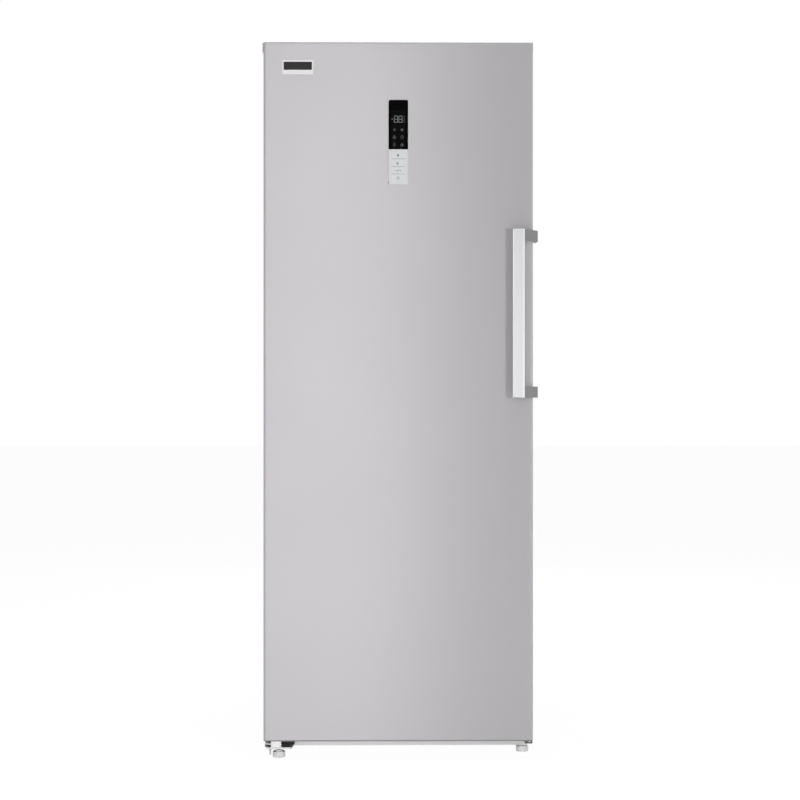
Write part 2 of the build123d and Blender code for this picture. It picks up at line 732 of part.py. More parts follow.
def duct_cover():
    """Panel before the air duct, with rows of outlets, return slots and the fan's guarded ring."""
    half = CAVITY_HALF - SEAT
    bottom = STEP_TOP + SEAT
    top = CAVITY_TOP - SEAT
    plate = Pos(0, (bottom + top) / 2) * RectangleRounded(2 * half, top - bottom, LINER_RADIUS)
    x_fan, z_fan = fan_centre()
    mouth = FAN_RADIUS + FAN_RING_GAP
    plate -= Pos(x_fan, z_fan) * Circle(mouth)
    rows = [level + SLOT_ABOVE_SHELF for level in SHELF_LEVELS[1:]]
    rows.append(bottom + 3 * SLOT_HEIGHT + GLASS_SHELF + LINER_RADIUS)
    for z in rows:
        for k in range(SLOT_COUNT):
            x = (k - (SLOT_COUNT - 1) / 2) * SLOT_PITCH
            if math.hypot(x - x_fan, z - z_fan) > mouth + SLOT_WIDTH / 2 + SLOT_HEIGHT:
                plate -= Pos(x, z) * SlotOverall(SLOT_WIDTH, SLOT_HEIGHT)
    cover = along_y(plate, DUCT_FRONT, DUCT_BACK)
    collar = Pos(x_fan, z_fan) * (Circle(mouth + DUCT_SHEET) - Circle(mouth))
    cover += along_y(collar, DUCT_FRONT, DUCT_BACK + FAN_DEPTH)
    guard = Pos(x_fan, z_fan) * (Circle(FAN_HUB) - Circle(FAN_HUB - GUARD_BAR))
    guard += Pos(x_fan, z_fan) * (Circle(GUARD_RING) - Circle(GUARD_RING - GUARD_BAR))
    for angle in range(0, 180, GUARD_STEP):
        bar = Rot(0, 0, angle) * Rectangle(2 * mouth + DUCT_SHEET, GUARD_BAR)
        guard += Pos(x_fan, z_fan) * (bar - Circle(FAN_HUB - GUARD_BAR))
    return cover + along_y(guard, DUCT_FRONT, DUCT_BACK)


def light_lens():
    width, depth, height = LENS_SIZE
    top = CAVITY_TOP - SEAT
    lens = block(-width / 2, width / 2, LENS_FRONT, LENS_FRONT + depth, top - height, top)
    return chamfer(lens.edges().group_by(Axis.Z)[0], height / 2)


def drawer_box(index):
    """Front y, rear y, floor z and top z of a drawer, counted from the top."""
    row = DRAWER_COUNT - 1 - index
    level = CAVITY_FLOOR if row == 0 else SHELF_LEVELS[row - 1] + GLASS_SHELF + SEAT
    rear = STEP_FRONT if row == 0 else DUCT_FRONT
    return DRAWER_FRONT, rear - DRAWER_REAR_GAP, level + SEAT, SHELF_LEVELS[row] - DRAWER_HEADROOM


def tub_block(bottom_half, top_half, y0, y1, z0, z1, radius):
    """Tapered block with rounded corners, wider at the top."""
    draft = (top_half - bottom_half) / 2
    middle = (y0 + y1) / 2
    lower = RectangleRounded(2 * bottom_half, y1 - y0 - 2 * draft, radius)
    upper = RectangleRounded(2 * top_half, y1 - y0, radius)
    return loft([Pos(0, middle, z0) * lower, Pos(0, middle, z1) * upper], ruled=True)


def drawer(index):
    """Moulded tub with draft, rim and runners, and a front with a scooped grip."""
    front, rear, floor, top = drawer_box(index)
    runner_width, runner_height = RUNNER
    back = front + DRAWER_FRONT_SHEET
    bottom = floor + runner_height
    outer = tub_block(TUB_BOTTOM_HALF, TUB_TOP_HALF, back, rear, bottom, top, TUB_RADIUS)
    inner = tub_block(
        TUB_BOTTOM_HALF - TUB_WALL,
        TUB_TOP_HALF - TUB_WALL,
        back + TUB_WALL,
        rear - TUB_WALL,
        bottom + TUB_WALL,
        top + TUB_WALL,
        TUB_RADIUS - TUB_WALL,
    )
    middle = (back + rear) / 2
    rim = RectangleRounded(2 * (TUB_TOP_HALF + TUB_RIM), rear - back, TUB_RADIUS)
    tub = outer + along_z(Pos(0, middle) * rim, top - TUB_WALL, top)
    tub -= inner
    height = top - floor
    face = Pos(0, (floor + top) / 2) * RectangleRounded(2 * DRAWER_HALF, height, LINER_RADIUS)
    grip = Pos(0, top) * RectangleRounded(GRIP_WIDTH, 2 * GRIP_DEPTH, GRIP_CORNER)
    tub += along_y(face - grip, front, back + TUB_WALL)
    tub -= along_y(grip, front - 1, back + TUB_WALL + TUB_RADIUS)
    for side in (-1, 1):
        x0 = side * RUNNER_SPREAD - runner_width / 2
        x1 = x0 + runner_width
        tub += block(x0, x1, back + TUB_RADIUS, rear - 2 * TUB_RADIUS, floor, bottom)
    return tub


# ---------------------------------------------------------------- cold side
def serpentine(passes, pitch, half, tube):
    """One unbroken tube of level passes joined by half-turn bends, drawn in (x, z) at y = 0."""
    lines = []
    for k in range(passes):
        z = k * pitch
        side = 1 if k % 2 == 0 else -1
        lines.append(Line((-side * half, 0, z), (side * half, 0, z)))
        if k < passes - 1:
            bulge = (side * (half + pitch / 2), 0, z + pitch / 2)
            lines.append(ThreePointArc((side * half, 0, z), bulge, (side * half, 0, z + pitch)))
    path = Wire([edge for line in lines for edge in line.edges()])
    start = Plane(origin=(-half, 0, 0), x_dir=(0, 1, 0), z_dir=(1, 0, 0))
    return sweep(start * Circle(tube), path=path)


def evaporator():
    """Serpentine tube with side-entry fins slotted over every pass; the end fins reach the liner."""
    middle = (DUCT_BACK + CAVITY_REAR) / 2
    tube = Pos(0, middle, COIL_BOTTOM) * serpentine(COIL_PASSES, COIL_PITCH, COIL_HALF, COIL_TUBE)
    top = COIL_BOTTOM + (COIL_PASSES - 1) * COIL_PITCH + FIN_MARGIN
    fin = block(
        -FIN_SHEET / 2,
        FIN_SHEET / 2,
        middle - FIN_DEPTH / 2,
        middle + FIN_DEPTH / 2,
        COIL_BOTTOM - FIN_MARGIN,
        top,
    )
    slot = COIL_TUBE + SEAT
    for k in range(COIL_PASSES):
        z = COIL_BOTTOM + k * COIL_PITCH
        fin -= block(-FIN_SHEET, FIN_SHEET, middle - FIN_DEPTH, middle + slot, z - slot, z + slot)
    fins = [Pos((k - (FIN_COUNT - 1) / 2) * FIN_PITCH, 0, 0) * fin for k in range(FIN_COUNT)]
    for end in (0, -1):
        x = fins[end].center().X
        fins[end] += block(
            x - FIN_SHEET / 2,
            x + FIN_SHEET / 2,
            middle + slot,
            CAVITY_REAR - SEAT,
            COIL_BOTTOM - FIN_MARGIN,
            top,
        )
    return group([tube, *fins])


def defrost_heater():
    """Straight heater tube under the coil, held by two clips on the liner's rear."""
    middle = (DUCT_BACK + CAVITY_REAR) / 2
    z = COIL_BOTTOM - HEATER_DROP
    heater = rod_x(-HEATER_HALF, HEATER_HALF, middle, z, HEATER_TUBE)
    for side in (-1, 1):
        x = side * (HEATER_HALF - HEATER_CLIP_INSET)
        clip = block(
            x - HEATER_CLIP, x + HEATER_CLIP, middle, CAVITY_REAR - SEAT, z - HEATER_TUBE, z + HEATER_TUBE
        )
        heater += clip
    return heater


def fan_blade(root, tip):
    """Twisted blade: a steep section at the hub and a flatter, wider one at the tip."""
    radial = Plane(origin=(0, 0, 0), x_dir=(0, 1, 0), z_dir=(1, 0, 0))
    sections = []
    for radius, (chord, thickness, pitch) in ((root, BLADE_ROOT), (tip, BLADE_TIP)):
        sections.append(radial.offset(radius) * Rot(0, 0, pitch) * Rectangle(chord, thickness))
    return loft(sections, ruled=True)


def fan_wheel(radius, hub, depth):
    """Hub with a domed nose and twisted blades, on the Z axis."""
    wheel = Cylinder(hub, depth)
    wheel = chamfer(wheel.edges().group_by(Axis.Z)[-1], FAN_NOSE)
    for k in range(FAN_BLADES):
        wheel += Rot(0, 0, 360 * k / FAN_BLADES) * fan_blade(hub - BLADE_SINK, radius)
    wheel = wheel & Cylinder(radius, depth)
    bore = SHAFT_RADIUS + PIN_GAP
    return wheel - rod_z(0, 0, -depth, depth / 2 - HUB_END, bore)


def evaporator_fan():
    x, z = fan_centre()
    middle = DUCT_BACK + FAN_DEPTH
    return Pos(x, middle, z) * Rot(90, 0, 0) * fan_wheel(FAN_RADIUS, FAN_HUB, FAN_DEPTH)


def evaporator_fan_motor():
    """Motor can on a strap across the liner's rear, with its shaft in the fan's hub."""
    x, z = fan_centre()
    width, height, sheet = MOTOR_PLATE
    fan_back = DUCT_BACK + FAN_DEPTH * 1.5
    can_front = fan_back + MOTOR_GAP
    plate_back = CAVITY_REAR - SEAT
    motor = rod_y(x, can_front, plate_back, z, MOTOR_RADIUS)
    motor += block(
        x - width / 2, x + width / 2, plate_back - sheet, plate_back, z - height / 2, z + height / 2
    )
    return motor + rod_y(x, fan_back - FAN_DEPTH / 2, can_front, z, SHAFT_RADIUS)


# ---------------------------------------------------------------- machine compartment
def mount_places():
    width, depth, _ = COMPRESSOR_PLATE
    return [
        (
            COMPRESSOR_X + side * (width / 2 - MOUNT_INSET),
            MACHINE_MIDDLE + end * (depth / 2 - MOUNT_INSET),
        )
        for side in (-1, 1)
        for end in (-1, 1)
    ]


def compressor():
    """Welded shell of two pressed cups with a seam, on a base plate, with stubs and terminal box."""
    width, depth, sheet = COMPRESSOR_PLATE
    base = UNDERSIDE + MOUNT_HEIGHT
    seam, rim = COMPRESSOR_SEAM
    wall = COMPRESSOR_RADIUS - COMPRESSOR_WALL_INSET
    shoulder = COMPRESSOR_SHOULDER
    rise = COMPRESSOR_HEIGHT - shoulder
    dome_radius = (wall**2 + rise**2) / (2 * rise)
    half_angle = math.asin(wall / dome_radius) / 2
    dome_side = (
        dome_radius * math.sin(half_angle),
        COMPRESSOR_HEIGHT - dome_radius * (1 - math.cos(half_angle)),
    )
    lower = Polyline(
        (0, COMPRESSOR_HEIGHT),
        (0, 0),
        (COMPRESSOR_RADIUS - COMPRESSOR_FOOT, 0),
        (wall, COMPRESSOR_FOOT),
        (wall, seam),
        (COMPRESSOR_RADIUS, seam),
        (COMPRESSOR_RADIUS, seam + rim),
        (wall, seam + rim),
        (wall, shoulder),
    )
    dome = ThreePointArc((wall, shoulder), dome_side, (0, COMPRESSOR_HEIGHT))
    profile = make_face(Wire([*lower.edges(), *dome.edges()]))
    shell = revolve(Plane.XZ * profile, Axis.Z)
    body = Pos(COMPRESSOR_X, MACHINE_MIDDLE, base + sheet) * shell
    outline = Pos(COMPRESSOR_X, MACHINE_MIDDLE) * RectangleRounded(width, depth, PLATE_CORNER)
    plate = along_z(outline, base, base + sheet)
    for x, y in mount_places():
        plate -= rod_z(x, y, base - 1, base + sheet + 1, MOUNT_HOLE)
    box_width, box_depth, box_height = TERMINAL_BOX
    side = COMPRESSOR_X + COMPRESSOR_RADIUS - TERMINAL_SINK
    body += block(
        side,
        side + box_width,
        MACHINE_MIDDLE - box_depth / 2,
        MACHINE_MIDDLE + box_depth / 2,
        base + seam - box_height / 2,
        base + seam + box_height / 2,
    )
    for side in (-1, 1):
        x = COMPRESSOR_X + side * STUB_SPREAD
        body += rod_z(x, MACHINE_MIDDLE + STUB_BACK, base + STUB_ROOT, base + STUB_TOP, STUB_RADIUS)
    return body + plate


def compressor_mounts():
    """Rubber mounts: a thick washer under the plate, with necks into the plate and the pan."""
    _, _, sheet = COMPRESSOR_PLATE
    top = UNDERSIDE + MOUNT_HEIGHT
    neck = MOUNT_HOLE - PIN_GAP
    lip, width = MOUNT_LIP
    mounts = []
    for x, y in mount_places():
        mount = rod_z(x, y, UNDERSIDE, top, MOUNT_RADIUS)
        mount += rod_z(x, y, UNDERSIDE - PAN_SHEET, top + sheet, neck)
        mount += rod_z(x, y, top + sheet, top + sheet + lip, neck + width)
        mounts.append(mount)
    return group(mounts)


def condenser():
    """Serpentine tube through two end plates that stand on the pan."""
    tube = Pos(CONDENSER_X, MACHINE_MIDDLE, CONDENSER_BOTTOM) * serpentine(
        CONDENSER_PASSES, CONDENSER_PITCH, CONDENSER_HALF, CONDENSER_TUBE
    )
    top = CONDENSER_BOTTOM + (CONDENSER_PASSES - 1) * CONDENSER_PITCH + CONDENSER_PLATE_MARGIN
    pieces = [tube]
    for side in (-1, 1):
        x = CONDENSER_X + side * (CONDENSER_HALF - CONDENSER_PLATE_MARGIN / 2)
        plate = block(
            x - CONDENSER_PLATE / 2,
            x + CONDENSER_PLATE / 2,
            MACHINE_MIDDLE - CONDENSER_PLATE_DEPTH / 2,
            MACHINE_MIDDLE + CONDENSER_PLATE_DEPTH / 2,
            UNDERSIDE,
            top,
        )
        for k in range(CONDENSER_PASSES):
            z = CONDENSER_BOTTOM + k * CONDENSER_PITCH
            plate -= rod_x(x - 1, x + 1, MACHINE_MIDDLE, z, CONDENSER_TUBE + PIN_GAP / 2)
        pieces.append(plate)
    return group(pieces)


def drip_tray():
    """Open tray on the pan, under the condenser's passes."""
    half = CONDENSER_HALF - CONDENSER_PLATE_MARGIN / 2 - CONDENSER_PLATE
    y0 = MACHINE_MIDDLE - TRAY_DEPTH / 2
    y1 = MACHINE_MIDDLE + TRAY_DEPTH / 2
    x0 = CONDENSER_X - half
    x1 = CONDENSER_X + half
    tray = block(x0, x1, y0, y1, UNDERSIDE, UNDERSIDE + TRAY_HEIGHT)
    return tray - block(
        x0 + TRAY_WALL,
        x1 - TRAY_WALL,
        y0 + TRAY_WALL,
        y1 - TRAY_WALL,
        UNDERSIDE + TRAY_WALL,
        UNDERSIDE + TRAY_HEIGHT + 1,
    )


def condenser_fan():
    place = Pos(COOLING_FAN_X, MACHINE_MIDDLE, COOLING_FAN_HEIGHT)
    return place * Rot(0, 90, 0) * fan_wheel(COOLING_FAN_RADIUS, FAN_HUB, FAN_DEPTH)


def condenser_fan_motor():
    """Motor can on a folded foot, with its shaft in the fan's hub."""
    front = COOLING_FAN_X - FAN_DEPTH / 2 - MOTOR_GAP
    back = front - MOTOR_DEPTH
    _, width, sheet = MOTOR_PLATE
    half = width / 2
    motor = rod_x(back, front, MACHINE_MIDDLE, COOLING_FAN_HEIGHT, MOTOR_RADIUS)
    motor += rod_x(front, COOLING_FAN_X, MACHINE_MIDDLE, COOLING_FAN_HEIGHT, SHAFT_RADIUS)
    motor += block(
        back - sheet, back, MACHINE_MIDDLE - half, MACHINE_MIDDLE + half, UNDERSIDE, COOLING_FAN_HEIGHT
    )
    return motor + block(
        back - sheet, front, MACHINE_MIDDLE - half, MACHINE_MIDDLE + half, UNDERSIDE, UNDERSIDE + sheet
    )


def fan_shroud():
    """Wall across the compartment with a round mouth that takes the fan."""
    x0 = COOLING_FAN_X + FAN_DEPTH / 2 + 2 * SEAT
    x1 = x0 + SHROUD_SHEET
    mouth = COOLING_FAN_RADIUS + FAN_RING_GAP
    top = COOLING_FAN_HEIGHT + SHROUD_HALF
    wall = block(
        x0, x1, MACHINE_MIDDLE - SHROUD_HALF, MACHINE_MIDDLE + SHROUD_HALF, UNDERSIDE, top
    )
    back = x0 - FAN_DEPTH
    wall += rod_x(back, x1, MACHINE_MIDDLE, COOLING_FAN_HEIGHT, mouth + SHROUD_SHEET)
    return wall - rod_x(back - 1, x1 + 1, MACHINE_MIDDLE, COOLING_FAN_HEIGHT, mouth)


def rear_cover():
    """Louvred cover of the machine compartment."""
    half = INNER_HALF - SEAT
    back = CABINET_DEPTH
    cover = block(-half, half, back - SHEET, back, UNDERSIDE + SEAT, MACHINE_TOP - SEAT)
    for row in range(LOUVRE_ROWS):
        z0 = LOUVRE_BOTTOM + row * LOUVRE_PITCH
        z1 = z0 + LOUVRE_HEIGHT
        hood = face_of(
            [
                (back, z1),
                (back, z1 + LOUVRE_LIP),
                (back + LOUVRE_HOOD, z0 + LOUVRE_LIP),
                (back + LOUVRE_HOOD, z0),
            ]
        )
        for column in range(LOUVRE_COLUMNS):
            middle = (column - (LOUVRE_COLUMNS - 1) / 2) * LOUVRE_COLUMN_PITCH
            x0 = middle - LOUVRE_WIDTH / 2
            x1 = middle + LOUVRE_WIDTH / 2
            cover -= block(x0, x1, back - SHEET - 1, back + 1, z0, z1)
            cover += along_x(hood, x0, x1)
    cover -= rod_y(GLAND_X, back - SHEET - 1, back + 1, GLAND_Z, GLAND_RADIUS + PIN_GAP / 2)
    for x, z in cover_screw_places():
        cover -= rod_y(x, back - SHEET - 1, back + 1, z, SCREW_HOLE)
    return cover


def cover_screw_places():
    x = INNER_HALF - 2 * SCREW_HEAD
    return [
        (side * x, z)
        for side in (-1, 1)
        for z in (UNDERSIDE + 3 * SCREW_HEAD, MACHINE_TOP - 2 * SCREW_HEAD)
    ]


def cable_gland():
    """Flanged bush in the rear cover."""
    back = CABINET_DEPTH
    inwards, outwards = GLAND_REACH
    flange, thickness = GLAND_FLANGE
    gland = rod_y(GLAND_X, back - SHEET - inwards, back + outwards, GLAND_Z, GLAND_RADIUS)
    gland += rod_y(GLAND_X, back, back + thickness, GLAND_Z, flange)
    return gland - rod_y(GLAND_X, back - SHEET - 2 * inwards, back + 2 * outwards, GLAND_Z, GLAND_BORE)


# ---------------------------------------------------------------- hinges
def bracket_screw_places():
    x = HINGE_X - HINGE_ARM + BRACKET_WIDTH / 2
    y0 = BRACKET_FRONT + 2 * SCREW_HEAD
    return [(x, y0), (x, y0 + BRACKET_DEPTH - 4 * SCREW_HEAD), (x + BRACKET_WIDTH / 3, y0)]


def upper_hinge_bracket():
    """Plate on the cabinet's top with an arm over the door and a riveted pin."""
    left = HINGE_X - HINGE_ARM
    plate = RectangleRounded(BRACKET_WIDTH, BRACKET_DEPTH, PLATE_ROUND)
    plate = Pos(left + BRACKET_WIDTH / 2, BRACKET_FRONT + BRACKET_DEPTH / 2) * plate
    arm_length = BRACKET_FRONT + BRACKET_DEPTH / 2 - HINGE_Y
    plate += Pos(HINGE_X, HINGE_Y + arm_length / 2) * Rectangle(2 * HINGE_ARM, arm_length)
    plate += Pos(HINGE_X, HINGE_Y) * Circle(HINGE_ARM)
    top = HINGE_BASE + HINGE_PLATE
    bracket = along_z(plate, HINGE_BASE, top)
    for x, y in bracket_screw_places():
        bracket -= rod_z(x, y, HINGE_BASE - 1, top + 1, SCREW_HOLE)
    pin = rod_z(HINGE_X, HINGE_Y, CAP_FLOOR - PIN_DEPTH, HINGE_BASE, HINGE_PIN)
    radius, height = RIVET
    return bracket + pin + rod_z(HINGE_X, HINGE_Y, top, top + height, radius)


def upper_hinge_cover():
    """Hollow moulded cover over the bracket's plate, with a mouth for the arm."""
    left = HINGE_X - HINGE_ARM - COVER_WALL
    top = HINGE_BASE + COVER_HEIGHT
    middle = Pos(left + COVER_WIDTH / 2, COVER_FRONT + COVER_DEPTH / 2)
    outline = middle * RectangleRounded(COVER_WIDTH, COVER_DEPTH, COVER_CORNER)
    body = along_z(outline, HINGE_BASE, top)
    body = chamfer(body.edges().group_by(Axis.Z)[-1], COVER_BEVEL)
    inner = middle * RectangleRounded(
        COVER_WIDTH - 2 * COVER_WALL, COVER_DEPTH - 2 * COVER_WALL, COVER_CORNER - COVER_WALL
    )
    body -= along_z(inner, HINGE_BASE - 1, top - COVER_WALL)
    return body - block(
        HINGE_X - HINGE_ARM - SEAT,
        HINGE_X + HINGE_ARM + SEAT,
        COVER_FRONT - 1,
        COVER_FRONT + COVER_MOUTH,
        HINGE_BASE - 1,
        HINGE_BASE + HINGE_PLATE + SEAT,
    )


def lower_bracket_screw_places():
    z = (LOWER_PLATE_TOP + LOWER_FLANGE_TOP) / 2
    x = -INNER_HALF + LOWER_PLATE_WIDTH
    return [(x - 2 * SCREW_HEAD, z), (x - 5.5 * SCREW_HEAD, z)]


def lower_hinge_bracket():
    """Angle bolted to the front rail: a plate under the door's corner and an upright flange."""
    left = -INNER_HALF
    right = left + LOWER_PLATE_WIDTH
    bottom = LOWER_PLATE_TOP - LOWER_PLATE
    left_taper, right_taper = LOWER_PLATE_TAPER
    tongue = face_of(
        [
            (left, 0),
            (left, -LOWER_PLATE_SHOULDER),
            (left + left_taper, -LOWER_PLATE_REACH),
            (right - right_taper, -LOWER_PLATE_REACH),
            (right, 0),
        ]
    )
    plate = along_z(tongue, bottom, LOWER_PLATE_TOP)
    front = plate.edges().filter_by(Axis.Z).sort_by(Axis.Y)[:3]
    plate = fillet(front, LOWER_PLATE_ROUND)
    bracket = plate + block(left, right, -LOWER_PLATE, 0, bottom, LOWER_FLANGE_TOP)
    top_right = bracket.edges().filter_by(Axis.Y).group_by(Axis.Z)[-1].group_by(Axis.X)[-1]
    bracket = fillet(top_right, PLATE_ROUND)
    x, y = left_foot_place()
    bracket -= rod_z(x, y, bottom - 1, LOWER_PLATE_TOP + 1, STEM_RADIUS + PIN_GAP)
    bracket -= rod_z(HINGE_X, HINGE_Y, bottom - 1, LOWER_PLATE_TOP + 1, HINGE_PIN + PIN_GAP / 2)
    for x, z in lower_bracket_screw_places():
        bracket -= rod_y(x, -LOWER_PLATE - 1, 1, z, SCREW_HOLE)
    return bracket


def lower_hinge_pin():
    """Pin through the lower plate, with a nut and a stud end under it."""
    bottom = LOWER_PLATE_TOP - LOWER_PLATE
    pin = rod_z(HINGE_X, HINGE_Y, bottom, DOOR_BOTTOM + PIN_DEPTH - BUSH_END, HINGE_PIN)
    nut = Pos(HINGE_X, HINGE_Y) * RegularPolygon(NUT_RADIUS, 6)
    radius, length = STUD
    stud = rod_z(HINGE_X, HINGE_Y, bottom - length, bottom, radius)
    return pin + along_z(nut, bottom - LOWER_PLATE, bottom) + stud


def closer_block():
    """White stop block beside the pin, with a thin collar round it."""
    x = HINGE_X + CLOSER_ASIDE + CLOSER_WIDTH / 2
    y = HINGE_Y - CLOSER_FORWARD + CLOSER_DEPTH / 2
    pad = Pos(x, y) * RectangleRounded(CLOSER_WIDTH, CLOSER_DEPTH, CLOSER_CORNER)
    base = LOWER_PLATE_TOP
    body = along_z(pad, base, base + CLOSER_HEIGHT)
    radius, height, rise = CLOSER_COLLAR
    body += rod_z(HINGE_X, HINGE_Y, base + rise, base + rise + height, radius)
    return body - rod_z(HINGE_X, HINGE_Y, base - 1, DOOR_BOTTOM, HINGE_PIN + PIN_GAP)


def cabinet_screws():
    """Heads and necks of the screws in both hinge brackets and in the rear cover."""
    neck = SCREW_NECK
    head = SCREW_HEAD_HEIGHT
    top = HINGE_BASE + HINGE_PLATE
    screws = []
    for x, y in bracket_screw_places():
        screws.append(rod_z(x, y, HINGE_BASE, top, neck) + rod_z(x, y, top, top + head, SCREW_HEAD))
    for x, z in lower_bracket_screw_places():
        front = -LOWER_PLATE
        screws.append(rod_y(x, front, 0, z, neck) + rod_y(x, front - head, front, z, SCREW_HEAD))
    for x, z in cover_screw_places():
        back = CABINET_DEPTH
        screws.append(rod_y(x, back - SHEET, back, z, neck) + rod_y(x, back, back + head, z, SCREW_HEAD))
    return group(screws)


# ---------------------------------------------------------------- door
DOOR_INNER = HALF - SKIN
FOAM_BOTTOM = DOOR_BOTTOM + BOTTOM_CAP
FOAM_TOP = CAP_FLOOR - CAP_FLOOR_SHEET
DISPLAY_TOP = DOOR_TOP - DISPLAY_DROP
DISPLAY_BOTTOM = DISPLAY_TOP - DISPLAY_HEIGHT
KEY_FRAME_TOP = DISPLAY_BOTTOM - SEAT
KEY_FRAME_BOTTOM = KEY_FRAME_TOP - KEY_FRAME_HEIGHT
HOUSING_BOTTOM = KEY_FRAME_BOTTOM + HOUSING_MARGIN
HOUSING_TOP = DISPLAY_TOP - HOUSING_MARGIN
HOUSING_BACK = SKIN_BACK + HOUSING_DEPTH
BOARD_FRONT = SKIN_BACK + BOARD_BACK


def front_edges(shape):
    """The upright edges nearest the viewer."""
    return shape.edges().filter_by(Axis.Z).group_by(Axis.Y)[0]


def door_slab(z0, z1):
    """Slab with the skin's outline."""
    slab = block(-HALF, HALF, DOOR_FRONT, LINER_FRONT, z0, z1)
    return fillet(front_edges(slab), SKIN_BEND)


def door_skin():
    """Steel sheet bent round both sides, with rear returns and holes for display and handle."""
    bottom = DOOR_BOTTOM + BOTTOM_LIP_RISE
    skin = door_slab(bottom, DOOR_TOP - TOP_LIP)
    inner = block(-DOOR_INNER, DOOR_INNER, SKIN_BACK, LINER_FRONT + 1, DOOR_BOTTOM - 1, DOOR_TOP + 1)
    skin -= fillet(front_edges(inner), SKIN_BEND - SKIN)
    shoulder = DOOR_TOP - CAP_HEIGHT
    for side in (-1, 1):
        x0, x1 = sorted((side * DOOR_INNER, side * (DOOR_INNER - SKIN_RETURN)))
        skin += block(x0, x1, LINER_FRONT - SKIN, LINER_FRONT, FOAM_BOTTOM, shoulder)
    skin -= block(-HALF - 1, HALF + 1, DOOR_FRONT + SKIN_BEND, 0, shoulder, DOOR_TOP + 1)
    window = HOUSING_HALF - HOUSING_WALL
    skin -= block(
        -window,
        window,
        DOOR_FRONT - 1,
        SKIN_BACK + 1,
        HOUSING_BOTTOM + HOUSING_WALL,
        HOUSING_TOP - HOUSING_WALL,
    )
    return skin - screw_bores(DOOR_INNER - 1, HALF + 1)


def door_top_cap():
    """Moulded cap: recess for the hinge arm at the left, hollow box over the rest, two cheeks."""
    top = DOOR_TOP - SKIN
    recess_right = -HALF + ARM_RECESS_WIDTH
    floor = block(-DOOR_INNER, DOOR_INNER, SKIN_BACK, LINER_FRONT, FOAM_TOP, CAP_FLOOR)
    lip = block(-DOOR_INNER, DOOR_INNER, SKIN_BACK, SKIN_BACK + CAP_WALL, FOAM_TOP, top)
    box = block(recess_right, DOOR_INNER, SKIN_BACK, LINER_FRONT, FOAM_TOP, top)
    cap = chamfer(front_edges(floor), SKIN_BEND) + chamfer(front_edges(lip), CAP_LIP_BEVEL) + box
    cap -= block(
        recess_right + CAP_WALL,
        DOOR_INNER - CAP_WALL,
        SKIN_BACK + CAP_WALL,
        LINER_FRONT - CAP_WALL,
        FOAM_TOP - 1,
        top - CAP_WALL,
    )
    corner = SKIN_BEND - CAP_WALL
    for side in (-1, 1):
        x = side * DOOR_INNER
        cut = face_of(
            [(x, SKIN_BACK), (x - side * SKIN_BEND, SKIN_BACK), (x, SKIN_BACK + SKIN_BEND)]
        )
        cap -= along_z(cut, FOAM_TOP - 1, top + 1)
    shoulder = DOOR_TOP - CAP_HEIGHT + SEAT
    cheek_front = DOOR_FRONT + SKIN_BEND + SEAT
    cap += block(DOOR_INNER - CAP_WALL, HALF + RIGHT_CHEEK, cheek_front, LINER_FRONT, FOAM_TOP, top)
    cap += block(DOOR_INNER, HALF + RIGHT_CHEEK, cheek_front, LINER_FRONT, shoulder, FOAM_TOP)
    outer = -HALF - LEFT_CHEEK
    cap += block(outer, -DOOR_INNER, cheek_front, LINER_FRONT, shoulder, CAP_FLOOR)
    cap += block(outer, -DOOR_INNER + corner, cheek_front, cheek_front + corner + 1, CAP_FLOOR, top)
    crown = door_slab(DOOR_TOP - TOP_LIP, DOOR_TOP)
    crown = chamfer(crown.edges().group_by(Axis.Z)[-1], TOP_LIP_BEVEL)
    cap += crown - block(-HALF - 1, HALF + 1, cheek_front, 0, FOAM_TOP, DOOR_TOP + 1)
    cap += rod_z(HINGE_X, HINGE_Y, FOAM_TOP - PIN_DEPTH, CAP_FLOOR, BOSS_RADIUS)
    socket_end = CAP_FLOOR - PIN_DEPTH - BUSH_END
    return cap - rod_z(HINGE_X, HINGE_Y, socket_end, CAP_FLOOR + 1, BUSH_SOCKET)


def door_bottom_cap():
    """Moulded cap with the lower bush's boss and a small foot under the right corner."""
    cap = block(-DOOR_INNER, DOOR_INNER, SKIN_BACK, LINER_FRONT, DOOR_BOTTOM, FOAM_BOTTOM)
    cap = chamfer(front_edges(cap), SKIN_BEND)
    width, depth, height = CORNER_FOOT
    foot = block(
        DOOR_INNER - width,
        DOOR_INNER,
        SKIN_BACK + SKIN_BEND,
        SKIN_BACK + SKIN_BEND + depth,
        DOOR_BOTTOM - height,
        DOOR_BOTTOM,
    )
    cap += fillet(foot.edges().filter_by(Axis.Y).group_by(Axis.Z)[0], CORNER_FOOT_ROUND)
    bottom = DOOR_BOTTOM - BOTTOM_LIP_DROP
    rim = door_slab(bottom, DOOR_BOTTOM + BOTTOM_LIP_RISE)
    rim = chamfer(rim.edges().group_by(Axis.Z)[0], BOTTOM_LIP_BEVEL)
    inside = HALF - BOTTOM_LIP_SIDE
    cap += rim - block(-inside, inside, DOOR_FRONT + SKIN_BEND, 0, bottom - 1, DOOR_TOP)
    cap += rod_z(HINGE_X, HINGE_Y, DOOR_BOTTOM, FOAM_BOTTOM + PIN_DEPTH, BOSS_RADIUS)
    socket_end = DOOR_BOTTOM + PIN_DEPTH + BUSH_END
    return cap - rod_z(HINGE_X, HINGE_Y, DOOR_BOTTOM - 1, socket_end, BUSH_SOCKET)


